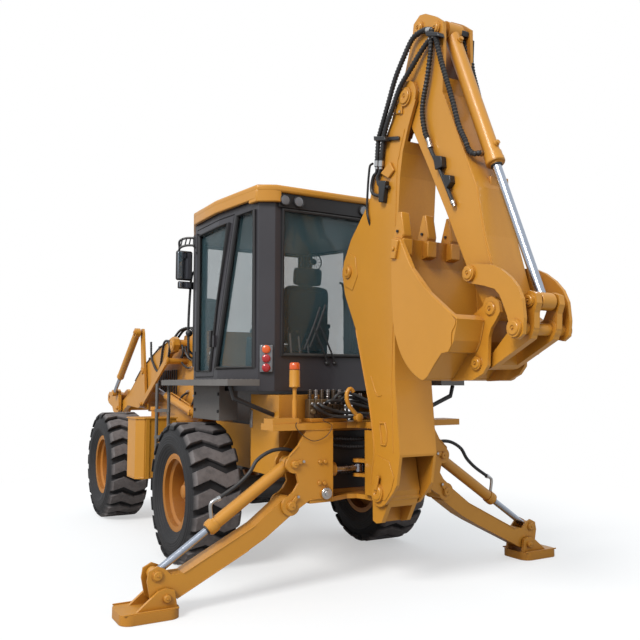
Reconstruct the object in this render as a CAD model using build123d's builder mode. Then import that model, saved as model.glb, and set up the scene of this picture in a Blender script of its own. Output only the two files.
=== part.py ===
"""Articulated backhoe loader, built in millimetres with +Z up and +Y forward.

Points are measured from the ground under the rear axle; REAR_AXLE moves them into the
part's own frame, whose origin is under the middle of the whole machine.
"""

import os

from build123d import *

os.makedirs("parts", exist_ok=True)

# Driving dimensions.
REAR_AXLE = -477.5
WHEELBASE = 2370.0
HINGE_Y = 1185.0
TYRE_RADIUS = 550.0
TYRE_HALF_WIDTH = 205.0
TRACK_HALF = 870.0
RIM_RADIUS = 292.0
LUG_COUNT = 20
PIN_FIT = 0.05
SEAT = 0.3
FRAME_TOP = 1060.0
FRAME_BOTTOM = 690.0
SWING_Y = -1350.0
CAB_FLOOR = 1355.0
CAB_TOP = 2810.0
CAB_WALL = 45.0

# Pins of the digging arm, as (y, z).
FOOT = (-1573.0, 685.0)
BOOM_RAM_BASE = (-1532.0, 1032.0)
BOOM_RAM_EYE = (-1211.0, 2222.0)
CROWD_BASE = (-1400.0, 2560.0)
TIP = (-1923.0, 3291.0)
CROWD_EYE = (-2035.0, 3720.0)
BUCKET_RAM_BASE = (-2205.0, 3645.0)
SIDE_LINK_PIN = (-2548.0, 2034.0)
DIPPER_END = (-2676.0, 1822.0)
LINK_PIN = (-2890.0, 1700.0)
BUCKET_RAM_EYE = (-2922.0, 1847.0)
BUCKET_EYE = (-2562.0, 1524.0)

# Pins of the loader, as (y, z).
ARM_PIN = (1530.0, 1810.0)
LINK_BASE = (1560.0, 1640.0)
LEVER_PIN = (2450.0, 1550.0)
LEVER_TOP = (2520.0, 1985.0)
LEVER_FOOT = (2386.0, 1184.0)
NOSE_PIN = (3450.0, 1110.0)
TILT_EYE = (3470.0, 1294.0)
LIFT_BASE = (1190.0, 1120.0)
LIFT_EYE = (2350.0, 1350.0)

# Pins of the left stabiliser, as (x, z); the right one is its mirror image.
LEG_PIN = (-662.0, 597.0)
LEG_RAM_BASE = (-637.0, 869.0)
LEG_RAM_EYE = (-1558.0, 249.0)
PAD_PIN = (-1507.0, 117.0)


def side(x=0.0):
    """Plane seen from the side: first axis forward from the rear axle, second up."""
    return Plane(origin=(x, REAR_AXLE, 0), x_dir=(0, 1, 0), z_dir=(1, 0, 0))


def across(y=0.0):
    """Plane seen from behind: first axis to the right, second up, facing the rear."""
    return Plane(origin=(0, REAR_AXLE + y, 0), x_dir=(1, 0, 0), z_dir=(0, -1, 0))


def level(z=0.0):
    """Plane seen from above: first axis to the right, second forward from the rear axle."""
    return Plane(origin=(0, REAR_AXLE, z))


def face(plane, points, corner=0.0):
    """Closed outline on a plane, with its corners rounded when a radius is given."""
    with BuildSketch(plane) as sketch:
        with BuildLine():
            Polyline(*points, close=True)
        make_face()
        if corner:
            fillet(sketch.vertices(), corner)
    return sketch.sketch


def plate(points, low, high, corner=0.0, mode=Mode.ADD):
    """Plate seen from the side, from one x to another."""
    extrude(face(side(low), points, corner), amount=high - low, mode=mode)


def wall(points, rear, front, corner=0.0, mode=Mode.ADD):
    """Plate seen from behind, from one y to another."""
    extrude(face(across(front), points, corner), amount=front - rear, mode=mode)


def slab(points, low, high, corner=0.0, mode=Mode.ADD):
    """Plate seen from above, from one height to another."""
    extrude(face(level(low), points, corner), amount=high - low, mode=mode)


def block(x_low, x_high, y_low, y_high, z_low, z_high, mode=Mode.ADD):
    """Box between two corners."""
    middle = ((x_low + x_high) / 2, REAR_AXLE + (y_low + y_high) / 2, (z_low + z_high) / 2)
    with Locations(middle):
        Box(x_high - x_low, y_high - y_low, z_high - z_low, mode=mode)


def pin(point, radius, low, high, mode=Mode.ADD):
    """Round bar along x through a (y, z) point."""
    with Locations(((low + high) / 2, REAR_AXLE + point[0], point[1])):
        Cylinder(radius, high - low, rotation=(0, 90, 0), mode=mode)


def stud(point, radius, rear, front, mode=Mode.ADD):
    """Round bar along y through an (x, z) point."""
    with Locations((point[0], REAR_AXLE + (rear + front) / 2, point[1])):
        Cylinder(radius, front - rear, rotation=(90, 0, 0), mode=mode)


def post(point, radius, low, high, mode=Mode.ADD):
    """Round bar along z through an (x, y) point."""
    with Locations((point[0], REAR_AXLE + point[1], (low + high) / 2)):
        Cylinder(radius, high - low, mode=mode)


def bar(start, end, radius, begin=0.0, finish=0.0, mode=Mode.ADD):
    """Round bar on the line between two points, cut short at either end."""
    first = Vector(*start) + Vector(0, REAR_AXLE, 0)
    way = Vector(*end) + Vector(0, REAR_AXLE, 0) - first
    length = way.length - begin - finish
    with Locations(Plane(origin=first + way.normalized() * begin, z_dir=way)):
        Cylinder(radius, length, align=(Align.CENTER, Align.CENTER, Align.MIN), mode=mode)


def at(x, point):
    """Point in space from an x and a (y, z) pair."""
    return (x, point[0], point[1])


# Tyre: a carcass with full-width wavy lugs, turned about its own Z axis.
CARCASS = [
    (RIM_RADIUS + SEAT, -150), (380, -TYRE_HALF_WIDTH), (440, -TYRE_HALF_WIDTH), (500, -182),
    (514, -90), (514, 90), (500, 182), (440, TYRE_HALF_WIDTH), (380, TYRE_HALF_WIDTH),
    (RIM_RADIUS + SEAT, 150),
]
TREAD_LIMIT = [
    (490, -202), (528, -192), (TYRE_RADIUS, -165), (TYRE_RADIUS, 165), (528, 192), (490, 202),
]
LUG_WAVE = [(16, -210), (-34, -62), (34, 62), (-16, 210)]
LUG_HALF = 52

with BuildPart() as tread:
    with BuildSketch(Plane.YZ.offset(496)):
        with BuildLine():
            lug_points = [(c - LUG_HALF, a) for c, a in LUG_WAVE]
            lug_points += [(c + LUG_HALF, a) for c, a in reversed(LUG_WAVE)]
            Polyline(*lug_points, close=True)
        make_face()
    extrude(amount=70)
    with BuildSketch(Plane.XZ):
        with BuildLine():
            Polyline(*TREAD_LIMIT, close=True)
        make_face()
    revolve(axis=Axis.Z, mode=Mode.INTERSECT)

with BuildPart() as tyre:
    with BuildSketch(Plane.XZ):
        with BuildLine():
            Polyline(*CARCASS, close=True)
        make_face()
    revolve(axis=Axis.Z)
    with PolarLocations(0, LUG_COUNT):
        add(tread.part)

# Rim: a deep dish with a hub dome, its outer side toward +Z.
DISC_BACK = -60.0
RIM_PROFILE = [
    (0, 75), (60, 72), (95, 58), (112, 36), (112, -22), (226, -14), (238, 100), (262, 116),
    (262, 155), (RIM_RADIUS, 155), (RIM_RADIUS, -155), (262, -155), (256, DISC_BACK),
    (0, DISC_BACK),
]
with BuildPart() as rim:
    with BuildSketch(Plane.XZ):
        with BuildLine():
            Polyline(*RIM_PROFILE, close=True)
        make_face()
    revolve(axis=Axis.Z)
    with Locations((0, 0, -22)), PolarLocations(168, 8):
        Cylinder(14, 26, align=(Align.CENTER, Align.CENTER, Align.MIN))

for axle_name, axle_y in (("rear", 0.0), ("front", WHEELBASE)):
    for side_name, sign in (("left", -1), ("right", 1)):
        spot = Pos(sign * TRACK_HALF, REAR_AXLE + axle_y, TYRE_RADIUS) * Rot(0, sign * 90, 0)
        for piece_name, piece in (("tyre", tyre), ("rim", rim)):
            placed = spot * piece.part
            placed.label = f"{piece_name}_{axle_name}_{side_name}"
            export_step(placed, f"parts/{placed.label}.step")

# Axles: a tube with a round differential case, hubs reaching into the rims and a saddle.
HUB_FACE = TRACK_HALF + DISC_BACK - SEAT
for axle_name, axle_y in (("rear", 0.0), ("front", WHEELBASE)):
    centre = (axle_y, TYRE_RADIUS)
    with BuildPart() as axle:
        pin(centre, 92, -580, 580)
        pin(centre, 150, -HUB_FACE, -570)
        pin(centre, 150, 570, HUB_FACE)
        with Locations((0, REAR_AXLE + axle_y, TYRE_RADIUS)):
            Sphere(132)
        block(-230, 230, axle_y - 85, axle_y + 85, 590, FRAME_BOTTOM - SEAT)
    axle.part.label = f"{axle_name}_axle"
    export_step(axle.part, f"parts/{axle_name}_axle.step")

# Rear frame: the chassis box with the two hinge ears in front and the tank on the left.
with BuildPart() as rear_frame:
    block(-330, 330, -1085, 880, FRAME_BOTTOM, FRAME_TOP)
    block(-240, 240, -500, 700, FRAME_TOP, CAB_FLOOR - SEAT)
    for ear_low, ear_high in ((FRAME_BOTTOM + 10, FRAME_BOTTOM + 60), (960, 1010)):
        slab([(-230, 860), (-130, HINGE_Y), (130, HINGE_Y), (230, 860)], ear_low, ear_high)
        post((0, HINGE_Y), 130, ear_low, ear_high)
    block(-650, -325, -1080, -610, 760, 1330)
    block(325, 650, -1080, -610, 760, 1330)
    post((0, HINGE_Y), 45, 600, 1100, Mode.SUBTRACT)
rear_frame.part.label = "rear_frame"
export_step(rear_frame.part, "parts/rear_frame.step")

# Stabiliser frame: two cross plates with lobes for the legs, decks above and below that end
# in the hinge tongues of the swing post, and a box on each side holding a swing ram.
LEG_REAR, LEG_FRONT = -1262.0, -1128.0
LEG_MIDDLE = (LEG_REAR + LEG_FRONT) / 2
CHEEKS = ((-1290.0, -1267.0), (-1123.0, -1100.0))
CHEEK_EDGE = [
    (-335, 620), (-335, 1100), (-551, 1100), (-551, 1086), (-606, 993), (-676, 925),
    (-680, 835), (-623, 808), (-605, 742), (-640, 690), (-712, 630), (-710, 560), (-650, 537),
    (-600, 575), (-523, 620),
]
DECK_EDGE = [
    (0, -1105), (-800, -1105), (-800, -1292), (-560, -1300), (-330, -1280), (-180, -1220),
    (-110, -1240), (-88, SWING_Y + 40), (-88, SWING_Y), (0, SWING_Y),
]
SWING_EYE = (-78.0, -1215.0)
SWING_RAM_Z = 812.0
SWING_ROD = 22.0
BEACON_BASE = 1300.0
with BuildPart() as stabiliser_frame:
    for rear, front in CHEEKS:
        wall(CHEEK_EDGE, rear, front)
        stud(LEG_PIN, 66, rear, front)
        stud(LEG_RAM_BASE, 60, rear, front)
    block(-520, -345, -1268, -1121, 610, 1100)
    stud(LEG_PIN, 34 - PIN_FIT, -1304, -1092)
    stud(LEG_RAM_BASE, 28 - PIN_FIT, -1304, -1092)
    slab(DECK_EDGE, 1095, 1140)
    slab(DECK_EDGE[:1] + [(-520, -1105), (-520, -1290)] + DECK_EDGE[4:], 600, 632)
    block(-335, 0, -1123, -1085 - SEAT, 600, 1140)
    with Locations((SWING_EYE[0] - 350, REAR_AXLE + SWING_EYE[1], SWING_RAM_Z)):
        Cylinder(50 + SEAT, 400, rotation=(0, 90, 0), mode=Mode.SUBTRACT)
    stud((-396, 663), 42, -1302, -1265)
    mirror(about=Plane.YZ)
    for low, high in ((600, 632), (1095, 1140)):
        post((0, SWING_Y), 88, low, high)
    post((0, SWING_Y), 45, 500, 1200, Mode.SUBTRACT)
    block(-800, -600, -1285, -1150, 1138, 1175)
    block(-640, -560, -1240, -1160, 1138, 1165)
    post((-590, -1200), 18, 1150, BEACON_BASE)
stabiliser_frame.part.label = "stabiliser_frame"
export_step(stabiliser_frame.part, "parts/stabiliser_frame.step")

# Swing rams: barrels held in the frame's side boxes and rods that slide along x.
with BuildPart() as swing_barrels:
    start = (-572, SWING_EYE[1], SWING_RAM_Z)
    bar(start, (-285, SWING_EYE[1], SWING_RAM_Z), 50)
    bar(start, (-280, SWING_EYE[1], SWING_RAM_Z), SWING_ROD + PIN_FIT, 14, 0, Mode.SUBTRACT)
    mirror(about=Plane.YZ)
swing_barrels.part.label = "swing_barrels"
export_step(swing_barrels.part, "parts/swing_barrels.step")

with BuildPart() as swing_rod:
    bar((-440, SWING_EYE[1], SWING_RAM_Z), (SWING_EYE[0], SWING_EYE[1], SWING_RAM_Z), SWING_ROD)
    post(SWING_EYE, 34, SWING_RAM_Z - 27, SWING_RAM_Z + 27)
swing_rod.part.label = "swing_rod_left"
export_step(swing_rod.part, "parts/swing_rod_left.step")
swing_rod_right = mirror(swing_rod.part, about=Plane.YZ)
swing_rod_right.label = "swing_rod_right"
export_step(swing_rod_right, "parts/swing_rod_right.step")

# Swing post: a hub between the tongues with its pin, forked ears for the swing rods, and the
# cheeks that carry the boom's foot and the base of its ram.
POST_HALF = 120.0
POST_EDGE = [
    (-1362, 642), (-1458, 642), (-1458, 480), (-1500, 466), (-1560, 479), (-1640, 610),
    (-1672, 700), (-1650, 800), (-1604, 1040), (-1580, 1092), (-1532, 1106), (-1458, 1090),
    (-1458, 1085), (-1362, 1085),
]
with BuildPart() as swing_post:
    plate(POST_EDGE, -POST_HALF, POST_HALF)
    post((0, SWING_Y), 82, 642, 1085)
    block(-62, 62, -1700, -1428, 930, 1200, Mode.SUBTRACT)
    block(-88, 88, -1760, -1490, 400, 590, Mode.SUBTRACT)
    post((0, SWING_Y), 45 - PIN_FIT, 585, 1155)
    pin(FOOT, 45 - PIN_FIT, -166, 166)
    for low, high in ((-168, -150 - SEAT), (150 + SEAT, 168)):
        pin(FOOT, 62, low, high)
    pin(BOOM_RAM_BASE, 30 - PIN_FIT, -100, 100)
    for low, high in ((750, 774), (850, 874)):
        slab([(-60, SWING_Y), (SWING_EYE[0] - 30, SWING_EYE[1]),
              (30 - SWING_EYE[0], SWING_EYE[1]), (60, SWING_Y)], low, high)
        for sign in (-1, 1):
            post((sign * SWING_EYE[0], SWING_EYE[1]), 40, low, high)
swing_post.part.label = "swing_post"
export_step(swing_post.part, "parts/swing_post.step")

# Boom: a channel of two side plates and a belly plate, open toward the cab.
BOOM_HALF = 150.0
BOOM_INNER = 128.0
BOOM_EDGE = [
    (-1478, 700), (-1500, 850), (-1520, 985), (-1476, 1228), (-1415, 1435), (-1302, 1791),
    (-1155, 2060), (-1118, 2222), (-1160, 2330), (-1240, 2454), (-1491, 2695), (-1594, 2955),
    (-1763, 3186), (-1822, 3330), (-2026, 3240), (-1940, 3080), (-1880, 2930), (-1848, 2778),
    (-1776, 1958), (-1772, 1434), (-1818, 950), (-1779, 753), (-1725, 687), (-1640, 610),
    (-1500, 630),
]
BOOM_CAVITY = [
    (-1000, 400), (-2000, 400), (-2000, 935), (-1798, 935), (-1750, 1434), (-1754, 1958),
    (-1826, 2778), (-1846, 3000), (-2200, 3000), (-2200, 3600), (-1000, 3600),
]
with BuildPart() as boom:
    plate(BOOM_EDGE, -BOOM_HALF, BOOM_HALF)
    for centre, radius in ((FOOT, 95), (BOOM_RAM_EYE, 92), (TIP, 104)):
        pin(centre, radius, -BOOM_HALF, BOOM_HALF)
    plate(BOOM_CAVITY, -BOOM_INNER, BOOM_INNER, mode=Mode.SUBTRACT)
    pin(FOOT, 45, -200, 200, Mode.SUBTRACT)
    pin(TIP, 42 - PIN_FIT, -BOOM_HALF - 14, BOOM_HALF + 14)
    pin(CROWD_BASE, 30 - PIN_FIT, -BOOM_INNER - 5, BOOM_INNER + 5)
    for centre, radius, proud in ((BOOM_RAM_EYE, 46, 16), (TIP, 62, 12)):
        for low, high in ((-BOOM_HALF - proud, -BOOM_HALF + 5), (BOOM_HALF - 5, BOOM_HALF + proud)):
            pin(centre, radius, low, high)
boom.part.label = "boom"
export_step(boom.part, "parts/boom.step")

# Dipper: a closed box below and two cheeks above, with the bucket's hinge pin at its end.
DIPPER_HALF = 120.0
DIPPER_EDGE = [
    (-1962, 3700), (-1975, 3772), (-2040, 3806), (-2101, 3790), (-2200, 3728), (-2278, 3660),
    (-2276, 3480), (-2258, 3212), (-2400, 2900), (-2500, 2677), (-2556, 2547), (-2620, 2250),
    (-2736, 1862), (-2720, 1772), (-2640, 1762), (-2478, 2043), (-2272, 2465), (-2122, 2753),
    (-1913, 3140), (-1822, 3270), (-1838, 3380),
]
DIPPER_CAVITY = [
    (-1700, 3040), (-2310, 3040), (-2238, 3212), (-2240, 3310), (-2500, 3320), (-2500, 3900),
    (-1700, 3900),
]
with BuildPart() as dipper:
    plate(DIPPER_EDGE, -DIPPER_HALF, DIPPER_HALF)
    pin(TIP, 96, -DIPPER_HALF, DIPPER_HALF)
    pin(DIPPER_END, 66, -DIPPER_HALF, DIPPER_HALF)
    plate(DIPPER_CAVITY, -98, 98, mode=Mode.SUBTRACT)
    pin(TIP, 42, -200, 200, Mode.SUBTRACT)
    pin(BUCKET_RAM_BASE, 30 - PIN_FIT, -110, 110)
    pin(DIPPER_END, 40 - PIN_FIT, -153, 153)
    pin(SIDE_LINK_PIN, 32 - PIN_FIT, -192, 192)
    for low, high in ((-198, -180 - SEAT), (180 + SEAT, 198)):
        pin(SIDE_LINK_PIN, 46, low, high)
    for centre, radius, proud in ((CROWD_EYE, 44, 12), (BUCKET_RAM_BASE, 44, 12)):
        for low, high in ((-DIPPER_HALF - proud, 5 - DIPPER_HALF), (DIPPER_HALF - 5, DIPPER_HALF + proud)):
            pin(centre, radius, low, high)
dipper.part.label = "dipper"
export_step(dipper.part, "parts/dipper.step")

# Bucket: side plates, a curved shell with its lip toward the boom, a stiffening box at the
# hinge side, four teeth and two ears that hold the hinge and the link.
BUCKET_HALF = 345.0
BUCKET_EDGE = [
    (-2045, 2315), (-2020, 2143), (-2035, 1762), (-2092, 1614), (-2176, 1508), (-2290, 1434),
    (-2350, 1440), (-2494, 1580), (-2551, 1583), (-2593, 1644), (-2628, 1762), (-2384, 1935),
    (-2225, 2096), (-2110, 2290),
]
BUCKET_HOLLOW = [
    (-2068, 2330), (-2042, 2143), (-2057, 1768), (-2110, 1628), (-2188, 1528), (-2292, 1458),
    (-2342, 1462), (-2480, 1600), (-2400, 1640), (-2400, 1780), (-2590, 1792), (-2590, 2000),
    (-2200, 2400),
]
EAR_EDGE = [
    (-2400, 1640), (-2516, 1790), (-2612, 1842), (-2640, 1886), (-2690, 1890), (-2741, 1857),
    (-2750, 1800), (-2716, 1755), (-2678, 1715), (-2657, 1668), (-2645, 1509), (-2602, 1463),
    (-2522, 1430), (-2340, 1424), (-2290, 1440),
]
TOOTH_EDGE = [(-2074, 2210), (-2104, 2330), (-2078, 2470), (-2062, 2470), (-2006, 2330), (-2012, 2180)]
with BuildPart() as bucket:
    plate(BUCKET_EDGE, -BUCKET_HALF, BUCKET_HALF)
    plate(BUCKET_HOLLOW, 25 - BUCKET_HALF, BUCKET_HALF - 25, mode=Mode.SUBTRACT)
    for sign in (-1, 1):
        plate(EAR_EDGE, sign * 139 - 11, sign * 139 + 11)
    pin(DIPPER_END, 40, -200, 200, Mode.SUBTRACT)
    for x in (-285, -95, 95, 285):
        plate(TOOTH_EDGE, x - 36, x + 36)
    for sign in (-1, 1):
        pin(BUCKET_EYE, 38, sign * 156 - 8, sign * 156 + 8)
bucket.part.label = "bucket"
export_step(bucket.part, "parts/bucket.step")

# Side links: two arched plates joined by the link pin.
SIDE_LINK_EDGE = [
    (-2490, 2050), (-2530, 2088), (-2590, 2084), (-2717, 2062), (-2789, 2028), (-2859, 1977),
    (-2913, 1919), (-2945, 1851), (-2955, 1749), (-2945, 1666), (-2905, 1640), (-2860, 1650),
    (-2848, 1712), (-2832, 1770), (-2805, 1834), (-2778, 1888), (-2742, 1923), (-2668, 1948),
    (-2600, 1965), (-2544, 1976), (-2500, 2000),
]
with BuildPart() as side_links:
    for sign in (-1, 1):
        plate(SIDE_LINK_EDGE, sign * 169 - 11, sign * 169 + 11)
    pin(LINK_PIN, 34 - PIN_FIT, -188, 188)
    pin(SIDE_LINK_PIN, 32, -250, 250, Mode.SUBTRACT)
    for sign in (-1, 1):
        pin(LINK_PIN, 48, sign * 188 - 8, sign * 188 + 8)
side_links.part.label = "side_links"
export_step(side_links.part, "parts/side_links.step")

# Bucket link: a box from the bucket's ears up to the link pin, with cheeks for the ram's eye.
LINK_EDGE = [
    (-2769, 1700), (-2660, 1600), (-2610, 1556), (-2580, 1536), (-2560, 1512), (-2572, 1488),
    (-2618, 1494), (-2925, 1645), (-2945, 1700), (-2900, 1752), (-2850, 1750),
]
LINK_CHEEK = [
    (-2880, 1880), (-2922, 1900), (-2968, 1880), (-2975, 1830), (-2955, 1782), (-2950, 1700),
    (-2920, 1650), (-2840, 1680), (-2850, 1745), (-2880, 1800),
]
with BuildPart() as bucket_link:
    plate(LINK_EDGE, -104, 104)
    pin(LINK_PIN, 56, -104, 104)
    block(-60, 60, -3000, -2660, 1400, 1900, Mode.SUBTRACT)
    for sign in (-1, 1):
        plate(LINK_CHEEK, sign * 84 - 20, sign * 84 + 20)
    pin(LINK_PIN, 34, -200, 200, Mode.SUBTRACT)
    for sign in (-1, 1):
        pin(BUCKET_RAM_EYE, 36, sign * 108 - 6, sign * 108 + 6)
bucket_link.part.label = "bucket_link"
export_step(bucket_link.part, "parts/bucket_link.step")

# Rams of the digging arm: each barrel has an eye on its base pin and a bore for the rod, and
# each rod ends in an eye that stands free between its cheeks.
RAM_TABLE = [
    # name, base pin, rod pin, base pin radius, barrel length, barrel, rod, rod length, eye, half
    ("boom", BOOM_RAM_BASE, BOOM_RAM_EYE, 30, 960, 52, 30, 1100, 48, 45),
    ("crowd", CROWD_BASE, CROWD_EYE, 30, 700, 48, 28, 690, 46, 44),
    ("bucket", BUCKET_RAM_BASE, BUCKET_RAM_EYE, 30, 1030, 48, 27, 1240, 48, 50),
]
for name, base, eye, pin_radius, tube, tube_radius, rod_radius, rod_length, eye_radius, half in RAM_TABLE:
    way = Vector(0, eye[0] - base[0], eye[1] - base[1])
    first, last = at(0, base), at(0, eye)
    with BuildPart() as barrel:
        pin(base, pin_radius + 30, -57, 57)
        bar(first, last, tube_radius, 30, way.length - tube)
        bar(first, last, tube_radius + 6, tube - 70, way.length - tube)
        bar(first, last, rod_radius + PIN_FIT, pin_radius + 40, 0, Mode.SUBTRACT)
        pin(base, pin_radius, -90, 90, Mode.SUBTRACT)
    barrel.part.label = f"{name}_barrel"
    export_step(barrel.part, f"parts/{name}_barrel.step")
    with BuildPart() as rod:
        bar(first, last, rod_radius, way.length - rod_length, 0)
        pin(eye, eye_radius, -half, half)
    rod.part.label = f"{name}_rod"
    export_step(rod.part, f"parts/{name}_rod.step")

# Stabilisers, built on the left and mirrored: a leg whose outer end forks, its foot pad, and
# a ram with its rod.
LEG_EDGE = [
    (-691, 652), (-910, 490), (-1394, 246), (-1470, 246), (-1510, 285), (-1558, 306),
    (-1612, 280), (-1622, 220), (-1600, 110), (-1540, 74), (-1470, 80), (-1439, 101),
    (-951, 337), (-836, 399), (-650, 528),
]
GUSSET_EDGE = [(-1700, 50), (-1558, 164), (-1507, 176), (-1458, 160), (-1438, 50)]
PAD_EDGE = [(-1790, -1335), (-1790, -1055), (-1425, -1055), (-1425, -1335)]
PAD_TOP = 60.0
LEG_TUBE = 690.0
with BuildPart() as leg:
    wall(LEG_EDGE, LEG_REAR, LEG_FRONT)
    stud(LEG_PIN, 60, LEG_REAR, LEG_FRONT)
    wall([(-1800, 0), (-1800, 500), (-1462, 500), (-1462, 0)], LEG_REAR + 14, LEG_FRONT - 14,
         mode=Mode.SUBTRACT)
    stud(LEG_PIN, 34, -1400, -1000, Mode.SUBTRACT)
    stud(PAD_PIN, 25, -1400, -1000, Mode.SUBTRACT)
    stud(LEG_RAM_EYE, 34, LEG_REAR - 8, LEG_REAR + 4)
    stud(LEG_RAM_EYE, 34, LEG_FRONT - 4, LEG_FRONT + 8)
with BuildPart() as pad:
    slab(PAD_EDGE, 0, PAD_TOP, 70)
    for rear, front in ((-1292, -1268), (-1122, -1098)):
        wall(GUSSET_EDGE, rear, front)
    stud(PAD_PIN, 25 - PIN_FIT, -1306, -1084)
with BuildPart() as leg_barrel:
    first = (LEG_RAM_BASE[0], LEG_MIDDLE, LEG_RAM_BASE[1])
    last = (LEG_RAM_EYE[0], LEG_MIDDLE, LEG_RAM_EYE[1])
    span = (Vector(*last) - Vector(*first)).length
    stud(LEG_RAM_BASE, 50, LEG_MIDDLE - 40, LEG_MIDDLE + 40)
    bar(first, last, 42, 25, span - LEG_TUBE)
    bar(first, last, 48, LEG_TUBE - 60, span - LEG_TUBE)
    bar(first, last, 24 + PIN_FIT, 60, 0, Mode.SUBTRACT)
    stud(LEG_RAM_BASE, 28, -1400, -1000, Mode.SUBTRACT)
with BuildPart() as leg_rod:
    bar(first, last, 24, span - 650, 0)
    stud(LEG_RAM_EYE, 38, LEG_MIDDLE - 40, LEG_MIDDLE + 40)
for piece_name, piece in (
    ("stabiliser_leg", leg), ("stabiliser_pad", pad), ("stabiliser_barrel", leg_barrel),
    ("stabiliser_rod", leg_rod),
):
    piece.part.label = f"{piece_name}_left"
    export_step(piece.part, f"parts/{piece_name}_left.step")
    twin = mirror(piece.part, about=Plane.YZ)
    twin.label = f"{piece_name}_right"
    export_step(twin, f"parts/{piece_name}_right.step")

# Front frame: engine bed, tower plates for the loader, the hinge tongue with its pin, and the
# pins that the loader turns on.
TOWER_IN, TOWER_OUT = 355.0, 390.0
TOWER_EDGE = [
    (1200, 1020), (1104, 1160), (1104, 1450), (1130, 1880), (1180, 1944), (1340, 1944),
    (1640, 1905), (1690, 1800), (1700, 1420), (1900, 1180), (1900, 760), (1300, 760),
    (1200, 860),
]
with BuildPart() as front_frame:
    block(-340, 340, 1480, 2880, FRAME_BOTTOM, 1080)
    for low, high in ((-TOWER_OUT, -TOWER_IN), (TOWER_IN, TOWER_OUT)):
        plate(TOWER_EDGE, low, high)
    block(-TOWER_IN, TOWER_IN, 1130, 1160, 1090, 1930)
    block(-TOWER_IN, TOWER_IN, 1500, 1890, 770, 1070)
    block(-95, 95, HINGE_Y, 1500, 760, 950)
    post((0, HINGE_Y), 95, 760, 950)
    post((0, HINGE_Y), 45 - PIN_FIT, FRAME_BOTTOM, 1020)
    for sign in (-1, 1):
        pin(ARM_PIN, 50 - PIN_FIT, sign * 470 - 90, sign * 470 + 90)
        pin(ARM_PIN, 66, sign * 557 - 6, sign * 557 + 6)
        pin(LINK_BASE, 32, sign * 480 - 110, sign * 480 + 108)
        pin(LINK_BASE, 28 - PIN_FIT, sign * 600 - 20, sign * 600 + 24)
        pin(LIFT_BASE, 26 - PIN_FIT, sign * 430 - 60, sign * 430 + 64)
front_frame.part.label = "front_frame"
export_step(front_frame.part, "parts/front_frame.step")

# Hood over the engine, closed in, with a sloping top between the loader arms.
HOOD_EDGE = [
    (1165, 1080 + SEAT), (1165, 1925), (1600, 1925), (1690, 1890), (1800, 1820), (2820, 1710),
    (2970, 1620), (3000, 1080 + SEAT),
]
with BuildPart() as hood:
    plate(HOOD_EDGE, -TOWER_IN + 5, TOWER_IN - 5)
    block(-TOWER_IN, TOWER_IN, 1100, 1165, 1000, 2000, Mode.SUBTRACT)
hood.part.label = "hood"
export_step(hood.part, "parts/hood.step")

# Air intake on the hood: a drum with a snorkel bowl.
with BuildPart() as intake:
    post((-210, 1460), 95, 1925 + SEAT, 2090)
    post((-210, 1460), 130, 2090, 2240)
    post((-210, 1460), 100, 2240, 2290)
intake.part.label = "air_intake"
export_step(intake.part, "parts/air_intake.step")

# Fuel tank on the left step of the front frame, with its bracket and filler neck.
with BuildPart() as fuel_tank:
    slab([(-1000, 1500), (-1000, 1240), (-930, 1180), (-620, 1180), (-620, 1500)], 515, 1075)
    slab([(-1012, 1512), (-1012, 1234), (-934, 1168), (-612, 1168), (-612, 1512)], 1075, 1087)
    block(-640, -TOWER_OUT - SEAT, 1260, 1480, 800, 1040)
    post((-760, 1400), 40, 1080, 1150)
    post((-760, 1400), 48, 1150, 1185)
fuel_tank.part.label = "fuel_tank"
export_step(fuel_tank.part, "parts/fuel_tank.step")

# Loader arms: two deep plates joined by a cross tube ahead of the hood.
ARM_EDGE = [
    (1500, 1738), (1462, 1800), (1478, 1862), (1540, 1888), (1626, 1870), (2093, 1741),
    (2646, 1554), (3129, 1297), (3440, 1185), (3510, 1150), (3520, 1080), (3440, 1045),
    (3300, 1110), (3162, 1150), (2735, 1129), (2560, 1180), (2386, 1300), (2100, 1480),
    (1650, 1716),
]
with BuildPart() as loader_arms:
    for sign in (-1, 1):
        plate(ARM_EDGE, sign * 523.5 - 26.5, sign * 523.5 + 26.5)
    pin((3235, 1200), 42, -500, 500)
    for centre, radius in ((ARM_PIN, 50), (NOSE_PIN, 26)):
        pin(centre, radius, -600, 600, Mode.SUBTRACT)
    for sign in (-1, 1):
        pin(LEVER_PIN, 36 - PIN_FIT, sign * 570 - 26, sign * 570 + 26)
        pin(LIFT_EYE, 40, sign * 484 - 14, sign * 484 + 14)
loader_arms.part.label = "loader_arms"
export_step(loader_arms.part, "parts/loader_arms.step")

# Levelling levers on the arms' outer faces, and the links that hold them level.
LEVER_EDGE = [
    (2478, 1990), (2500, 2030), (2540, 2030), (2562, 1990), (2508, 1550), (2434, 1165),
    (2395, 1132), (2350, 1145), (2334, 1190), (2392, 1550),
]
LINK_WIDTH = 30.0
with BuildPart() as level_levers:
    for sign in (-1, 1):
        plate(LEVER_EDGE, sign * 574 - 14, sign * 574 + 14)
        pin(LEVER_PIN, 56, sign * 574 - 14, sign * 574 + 14)
    pin(LEVER_PIN, 36, -700, 700, Mode.SUBTRACT)
    for sign in (-1, 1):
        pin(LEVER_TOP, 26 - PIN_FIT, sign * 630 - 48, sign * 630 + 44)
level_levers.part.label = "level_levers"
export_step(level_levers.part, "parts/level_levers.step")

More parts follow.
